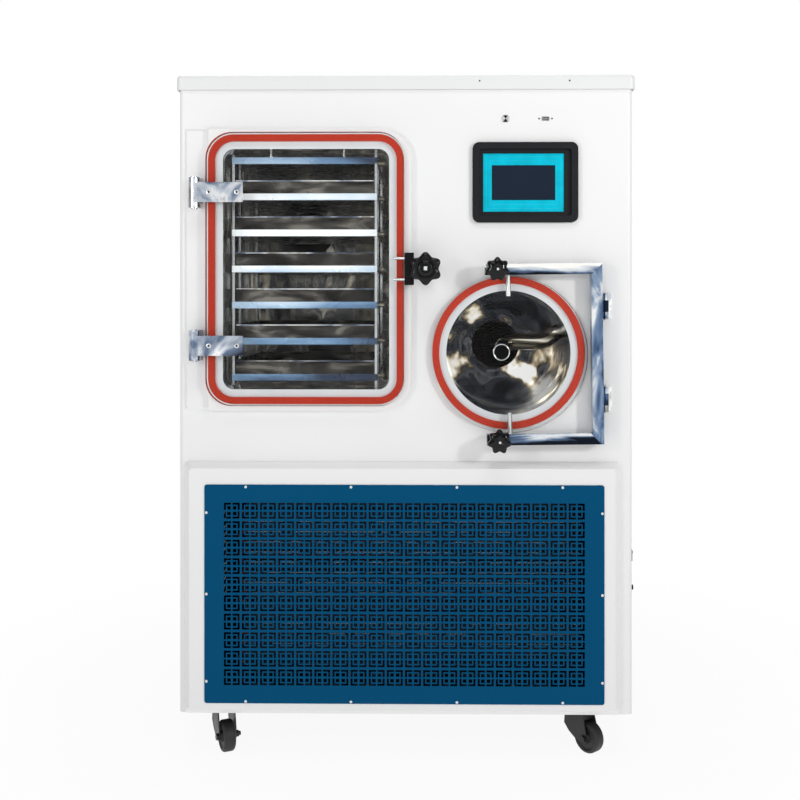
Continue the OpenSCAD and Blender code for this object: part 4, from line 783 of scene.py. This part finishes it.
def fret_grille():
    """The blue plate with its full fretwork, in the place of the plainer solid."""
    low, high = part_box("grille_plate")
    mid = (low + high) / 2
    px, pz = FRET_PITCH
    shape = Shape()
    holes = fret_holes()
    half = (px / 2, pz / 2)
    signs = ((-1, -1), (1, -1), (1, 1), (-1, 1))
    for c in range(FRET_COLUMNS):
        for r in range(FRET_ROWS):
            x = mid.x + (c - (FRET_COLUMNS - 1) / 2) * px
            z = mid.z + (r - (FRET_ROWS - 1) / 2) * pz
            cell = [(x + i * half[0], z + j * half[1]) for i, j in signs]
            cuts = [[(x + u, z + v) for u, v in hole] for hole in holes]
            plate_cell(shape, cell, cuts, low.y, high.y)
    w, h = FRET_COLUMNS * half[0], FRET_ROWS * half[1]
    field = [(mid.x + i * w, mid.z + j * h) for i, j in signs]
    bend, steps = 6 * MM, 5
    corners = ((high.x - bend, high.z - bend, 0), (low.x + bend, high.z - bend, 90),
               (low.x + bend, low.z + bend, 180), (high.x - bend, low.z + bend, 270))
    rim = []
    for x, z, start in corners:
        for k in range(steps + 1):
            a = math.radians(start + 90 * k / steps)
            rim.append((x + bend * math.cos(a), z + bend * math.sin(a)))
    plate_cell(shape, rim, [field], low.y, high.y)
    n = len(rim)
    shape.add([Vector((x, y, z)) for y in (low.y, high.y) for x, z in rim],
              [[k, (k + 1) % n, (k + 1) % n + n, k + n] for k in range(n)])
    grille = shape.make("fretwork_grille", "cabinet", "grille_paint", smooth=False)
    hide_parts("grille_plate")


# Places of the grille's screws about its middle, in millimetres
GRILLE_TOP_XS, GRILLE_SIDE_ZS = (-377, -126, 126, 377), (-208, 0, 194)


def grille_screws():
    """The small cap screws round the edge of the fretwork plate."""
    low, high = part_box("grille_plate")
    inset = 5 * MM
    mid = (low + high) / 2
    spots = [(mid.x + x * MM, z) for x in GRILLE_TOP_XS for z in (low.z + inset, high.z - inset)]
    spots += [(x, mid.z + z * MM) for z in GRILLE_SIDE_ZS for x in (low.x + inset, high.x - inset)]
    shape = Shape()
    for x, z in spots:
        socket_screw(shape, (x, low.y, z), OUT, 3.6 * MM, 2 * MM)
    shape.make("grille_screws", "cabinet", "screw_steel", "bright_steel")


LEAF_HEIGHT, LEAF_SCREW_INSETS = 47 * MM, (14 * MM, 80 * MM)
LATCH_SCREW_HALF = 25 * MM  # half the distance between the latch's screws


def door_fittings():
    """Screws through the door's hinge leaves and into the latch block, with dark plugs in the leaf screws' sockets
    as painted shade.
    """
    low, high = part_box("door_hinge_leaves")
    shape, sockets, screws = Shape(), Shape(), Shape()
    bore_r, bore_deep = 3 * MM, 1.4 * MM
    for z in (low.z + LEAF_HEIGHT / 2, high.z - LEAF_HEIGHT / 2):
        for inset in LEAF_SCREW_INSETS:
            at = (high.x - inset, low.y, z)
            socket_screw(shape, at, OUT, 6 * MM, 2.6 * MM)
            # Painted shade: a dark plug fills each leaf screw's socket.
            turned(sockets, at, OUT, [(bore_r, 0), (bore_r, bore_deep)], sides=12)
    shape.make("hinge_leaf_screws", "chamber_door", "screw_steel", "bright_steel")
    sockets.make("hinge_leaf_socket_shade", "chamber_door", "dark_steel", "bright_steel")
    edge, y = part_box("chamber_door")[1].x, middle("chamber_door").y
    shank = [(3.5 * MM, 0), (3.5 * MM, 24 * MM), (2 * MM, 27 * MM)]
    for side in (-1, 1):
        z = middle("latch_block").z + side * LATCH_SCREW_HALF
        turned(screws, (edge, y, z), (-1, 0, 0), shank)
    screws.make("latch_screws", "chamber_door", "screw_steel", "bright_steel")


PORT_SCREW_HALF, CAP_SCREW_RISE = 15.5 * MM, 20 * MM
CAP_SCREW_XS = (178 * MM, 393 * MM)


def small_screws():
    """Screws of the data port and of the cap."""
    shape = Shape()
    mid, panel_y = middle("data_port"), face_of("front_panel")
    for side in (-1, 1):
        socket_screw(shape, (mid.x + side * PORT_SCREW_HALF, panel_y, mid.z), OUT, 2 * MM, 1 * MM)
    cap_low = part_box("top_cap")[0]
    for x in CAP_SCREW_XS:
        socket_screw(shape, (x, cap_low.y, cap_low.z + CAP_SCREW_RISE), OUT, 2 * MM, 0.8 * MM)
    shape.make("small_screws", "cabinet", "dark_steel", "bright_steel")


# Each knob's profile: radius and height as shares, and how far the lobes shape that ring;
# the two kinds share their skirt at the back
SKIRT = [(0.42, 0.0, 0), (0.42, 0.2, 0), (0.5, 0.27, 0.2), (0.82, 0.3, 0.8), (0.95, 0.35, 1), (1.0, 0.44, 1)]
RINGED = SKIRT + [
    (1.0, 0.62, 1), (0.97, 0.72, 1), (0.9, 0.8, 0.95), (0.78, 0.85, 0.7), (0.66, 0.87, 0.3), (0.6, 0.86, 0),
    (0.57, 0.8, 0), (0.52, 0.8, 0), (0.49, 0.88, 0), (0.44, 0.95, 0), (0.36, 0.99, 0), (0.27, 1.0, 0),
    (0.23, 0.97, 0), (0.2, 0.9, 0),
]
DOMED = SKIRT + [
    (1.0, 0.6, 1), (0.97, 0.69, 1), (0.9, 0.77, 0.9), (0.78, 0.85, 0.65), (0.64, 0.91, 0.35),
    (0.5, 0.96, 0.1), (0.36, 0.99, 0), (0.24, 1.0, 0), (0.2, 0.97, 0), (0.19, 0.85, 0),
]
SCALLOP = 0.21  # how deep the hollows between the lobes go, as a share of the radius
SIDES_PER_LOBE = 16
STUD_PROUD, SHANK_R = 4 * MM, 6 * MM


def star_knob(node, lobes, radius, thick, profile, stud_r):
    """A glossy star knob with blunt lobes round the square end of its screw."""
    pivot = joints[node + "_turn"]["pos_m"]
    low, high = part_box(node)
    front = low.y + STUD_PROUD
    back = front + thick
    sides = lobes * SIDES_PER_LOBE
    rows = []
    for r, h, share in profile:
        row = []
        for k in range(sides):
            a = 2 * math.pi * k / sides
            swell = (1 + math.cos(lobes * a)) / 2
            q = radius * r * (1 - share * SCALLOP * (1 - swell))
            row.append(Vector((pivot[0] - q * math.sin(a), back - thick * h, pivot[2] + q * math.cos(a))))
        rows.append(row)
    shape = Shape()
    shape.rings(rows)
    knob = shape.make(node + "_star", node, "knob_plastic")
    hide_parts(node)
    stud = Shape()
    shank = [(SHANK_R * 0.85, 0), (SHANK_R, 1 * MM), (SHANK_R, high.y - back)]
    turned(stud, (pivot[0], high.y, pivot[2]), OUT, shank)
    square_end = [(stud_r, 0), (stud_r, 9 * MM), (stud_r * 0.8, 10 * MM)]
    turned(stud, (pivot[0], front + 6 * MM, pivot[2]), OUT, square_end, rim=lambda step, a: polygon_rim(4, a))
    stud.make(node + "_screw", node, "screw_steel", "bright_steel")


GLASS_HALF_W, GLASS_HALF_H = 75.7 * MM, 41.7 * MM
GLASS_FRONT, GLASS_BACK = 0.4 * MM, 1.9 * MM
OUTLINE_INSETS, OUTLINE_W, OUTLINE_PROUD = (7 * MM, 17 * MM), 0.5 * MM, 0.12 * MM


def screen_face():
    """Dark glass and two fine outlines on the touch panel."""
    low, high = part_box("touch_screen")
    mid = (low + high) / 2
    glass = Shape()
    glass.bar((mid.x - GLASS_HALF_W, low.y + GLASS_FRONT, mid.z - GLASS_HALF_H),
              (mid.x + GLASS_HALF_W, low.y + GLASS_BACK, mid.z + GLASS_HALF_H))
    glass.make("screen_glass", "cabinet", "screen_glass", "screen_panel", smooth=False)
    lines = Shape()
    for inset in OUTLINE_INSETS:
        x0, x1, z0, z1 = low.x + inset, high.x - inset, low.z + inset, high.z - inset
        for left, bottom, right, top in ((x0, z0, x1, z0 + OUTLINE_W), (x0, z1 - OUTLINE_W, x1, z1),
                                         (x0, z0, x0 + OUTLINE_W, z1), (x1 - OUTLINE_W, z0, x1, z1)):
            lines.bar((left, low.y - OUTLINE_PROUD, bottom), (right, low.y, top))
    lines.make("overlay_outlines", "cabinet", "overlay_line", "screen_panel", smooth=False)


TRAYS, HEM_R = 6, 1.6 * MM


def tray_hems():
    """Rolled rims along the trays' upper front edges."""
    shape = Shape()
    for i in range(TRAYS):
        low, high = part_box(f"tray_{i + 1}")
        at = (low.x, low.y + HEM_R * 0.6, high.z - HEM_R)
        turned(shape, at, (1, 0, 0), [(HEM_R, 0), (HEM_R, high.x - low.x)], sides=10)
    shape.make("tray_rims", "cabinet", "hinge_steel")


VENT_ROWS, VENT_PITCH, VENT_LENGTH, VENT_MID_Z = 12, 22 * MM, 120 * MM, 354 * MM
# A hood's section in millimetres: height about its slot and how far it stands out
HOOD = [(7, 0), (6, 2.4), (4, 4), (0, 4.7), (-11, 5), (-11, 4.2), (0, 3.9), (3.4, 3.3), (5, 2), (5.8, 0)]
# Where along half a slot the hood has which share of its depth
HOOD_ENDS = [(1.02, 0.05), (1.0, 0.5), (0.94, 0.85), (0.86, 1.0)]


def hood_rings(at, along, outward):
    """The rings of one hood about the middle of its slot."""
    ends = HOOD_ENDS + [(-place, share) for place, share in reversed(HOOD_ENDS)]
    up = Vector((0, 0, 1))
    return [[at + along * place * VENT_LENGTH / 2 + (up * rise + outward * out * share) * MM
             for rise, out in HOOD] for place, share in ends]


def louvre_hoods():
    """Pressed hoods over the vent slots of the sides and back, open below."""
    left_low, left_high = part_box("left_panel")
    right_x, rear_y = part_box("right_panel")[1].x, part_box("rear_panel")[1].y
    side_y = (left_low.y + left_high.y) / 2
    x_axis, y_axis = Vector((1, 0, 0)), Vector((0, 1, 0))
    # Each bank: middle, the slots' direction, outward, and the columns' places along the slots
    side_columns = [side * VENT_LENGTH for side in (-1, 1)]
    rear_columns = [side * 0.75 * VENT_LENGTH for side in (-3, -1, 1, 3)]
    banks = {
        "left": (Vector((left_low.x, side_y, 0)), y_axis, -x_axis, side_columns),
        "right": (Vector((right_x, side_y, 0)), y_axis, x_axis, side_columns),
        "rear": (Vector((0, rear_y, 0)), x_axis, y_axis, rear_columns),
    }
    for name, (origin, along, outward, columns) in banks.items():
        shape = Shape()
        for place in columns:
            for row in range(VENT_ROWS):
                height = VENT_MID_Z + (row - (VENT_ROWS - 1) / 2) * VENT_PITCH
                at = origin + along * place + Vector((0, 0, height))
                shape.rings(hood_rings(at, along, outward))
        shape.make(f"{name}_louvres", "cabinet", "cabinet_paint")


def pipe_mouth():
    """The bright cut end of the suction pipe in the trap."""
    wall, proud = 1.5 * MM, 0.6 * MM
    half_wall = [(0, 0), (0, proud / 2), (wall / 2, proud), (wall, proud / 2), (wall, 0)]
    lip = Shape()
    turned(lip, pipe_end(), OUT, [(PIPE_R - wall + r, h) for r, h in half_wall], sides=48)
    lip.make("pipe_lip", "cabinet", "screw_steel", "pipe_steel")


# ------------------------------------------------------------ studio and view


def area_light(name, at, target, size, power):
    data = bpy.data.lights.new(name, "AREA")
    data.shape = "RECTANGLE"
    data.size, data.size_y = size
    data.energy = power
    lamp = bpy.data.objects.new(name, data)
    lamp.location = at
    lamp.rotation_euler = (Vector(target) - Vector(at)).to_track_quat("-Z", "Y").to_euler()
    bpy.context.scene.collection.objects.link(lamp)


def studio():
    """Lamps: name, place, what each looks at, width and height in metres, watts."""
    area_light("left_softbox", (-1.9, -2.5, 1.6), (-0.1, 0, 1.0), (0.4, 0.8), 15)
    area_light("right_softbox", (2.0, -2.4, 1.8), (0.1, 0, 1.0), (0.24, 0.44), 22)
    area_light("overhead", (0.2, -1.9, 3.5), (0, 0, 1.0), (1.8, 0.6), 15)
    area_light("ceiling", (0, 0.5, 4.6), (0, 0.2, 1.0), (2.6, 2.6), 55)


# Tones of the world, as linear colours
SKY_TONES = [(0.0, (0.3, 0.3, 0.3, 1)), (0.35, (0.38, 0.38, 0.38, 1)), (1.0, (1.0, 1.0, 1.0, 1))]
SKY_STRENGTH = 0.34
ROOM_TONES = [
    (0.3, (0.03, 0.03, 0.035, 1)), (0.44, (0.08, 0.08, 0.085, 1)), (0.5, (0.42, 0.36, 0.27, 1)),
    (0.54, (0.14, 0.16, 0.2, 1)), (0.6, (0.55, 0.63, 0.78, 1)), (0.72, (1.3, 1.3, 1.3, 1)),
]
WINDOW_TONES = [(0.36, (0.5, 0.53, 0.58, 1)), (0.5, (0.95, 0.95, 0.95, 1)), (0.64, (1.15, 1.15, 1.12, 1))]


def surroundings():
    """White to the eye, soft light from the front, and a dim patchy room in what mirrors it."""
    world = bpy.data.worlds.new("studio")
    bpy.context.scene.world = world
    world.use_nodes = True
    world.cycles.sampling_method = "NONE"
    world.node_tree.nodes.clear()
    tree = Tree(world.node_tree)
    direction = tree.node("ShaderNodeTexCoord").outputs["Generated"]
    y = tree.split(direction)["Y"]

    seen, sky, room = (tree.node("ShaderNodeBackground") for _ in range(3))
    seen.inputs["Color"].default_value = (1, 1, 1, 1)
    tree.link(tree.ramp(tree.spread(y, 0, 1, 0.5, -1.0), SKY_TONES), sky.inputs["Color"])
    sky.inputs["Strength"].default_value = SKY_STRENGTH

    # The room is dim patches all round, with a bright window in a cone about the front
    patches = tree.noise_at(direction, 2.6, 2, 0.9)
    in_window = tree.spread(y, 0, 1, -0.8, -0.95, curve="SMOOTHSTEP")
    walls, window = tree.ramp(patches, ROOM_TONES), tree.ramp(patches, WINDOW_TONES)
    tree.link(tree.mix(in_window, walls, window), room.inputs["Color"])

    path = tree.node("ShaderNodeLightPath").outputs
    unmirrored = tree.math("LESS_THAN", path["Glossy Depth"], 0.5)
    is_lighting = tree.math("MAXIMUM", unmirrored, path["Is Diffuse Ray"])
    in_sight = tree.math("MAXIMUM", path["Is Camera Ray"], path["Is Transmission Ray"])
    unseen = tree.mix_shader(is_lighting, room.outputs[0], sky.outputs[0])
    surface = tree.node("ShaderNodeOutputWorld").inputs["Surface"]
    tree.link(tree.mix_shader(in_sight, unseen, seen.outputs[0]), surface)


def pale_floor():
    """A pale floor that fades to the white of the background."""
    mesh = bpy.data.meshes.new("floor")
    reach = 40
    corners = [(reach * i, reach * j, 0) for i, j in ((-1, -1), (1, -1), (1, 1), (-1, 1))]
    mesh.from_pydata(corners, [], [[0, 1, 2, 3]])
    floor = bpy.data.objects.new("floor", mesh)
    bpy.context.scene.collection.objects.link(floor)
    look = Look("floor", (0.92, 0.92, 0.92, 1), 0.7)
    look.tone(0.01, 3)
    length = look.node("ShaderNodeVectorMath", operation="LENGTH")
    look.link(look.place(), length.inputs[0])
    fade = look.spread(length.outputs["Value"], 0.93, 1, 0.5, 1.6)
    look.give_way(fade, look.node("ShaderNodeEmission"))
    mesh.materials.append(look.material)


def camera():
    """Level camera at chest height, with a little rise of the lens."""
    front = face_of("front_panel")
    turn = math.radians(0.75)
    distance, height = 2.5, 1.12
    data = bpy.data.cameras.new("camera")
    data.lens = 46.88
    data.sensor_width = 36
    data.shift_x = -0.0066
    data.shift_y = -0.1325
    cam = bpy.data.objects.new("camera", data)
    cam.location = (distance * math.sin(turn), front - distance * math.cos(turn), height)
    cam.rotation_euler = (math.radians(90), 0, turn)
    bpy.context.scene.collection.objects.link(cam)
    bpy.context.scene.camera = cam


def pieces():
    dress_solids()
    fret_grille()
    grille_screws()
    door_fittings()
    small_screws()
    star_knob("chamber_knob", 6, 39 * MM, 38 * MM, RINGED, 6 * MM)
    for node in ("upper_knob", "lower_knob"):
        star_knob(node, 7, 29 * MM, 30 * MM, DOMED, 4.5 * MM)
    screen_face()
    tray_hems()
    pipe_mouth()
    louvre_hoods()


camera()
pieces()
surroundings()
studio()
pale_floor()
bpy.context.scene.view_settings.view_transform = "Standard"
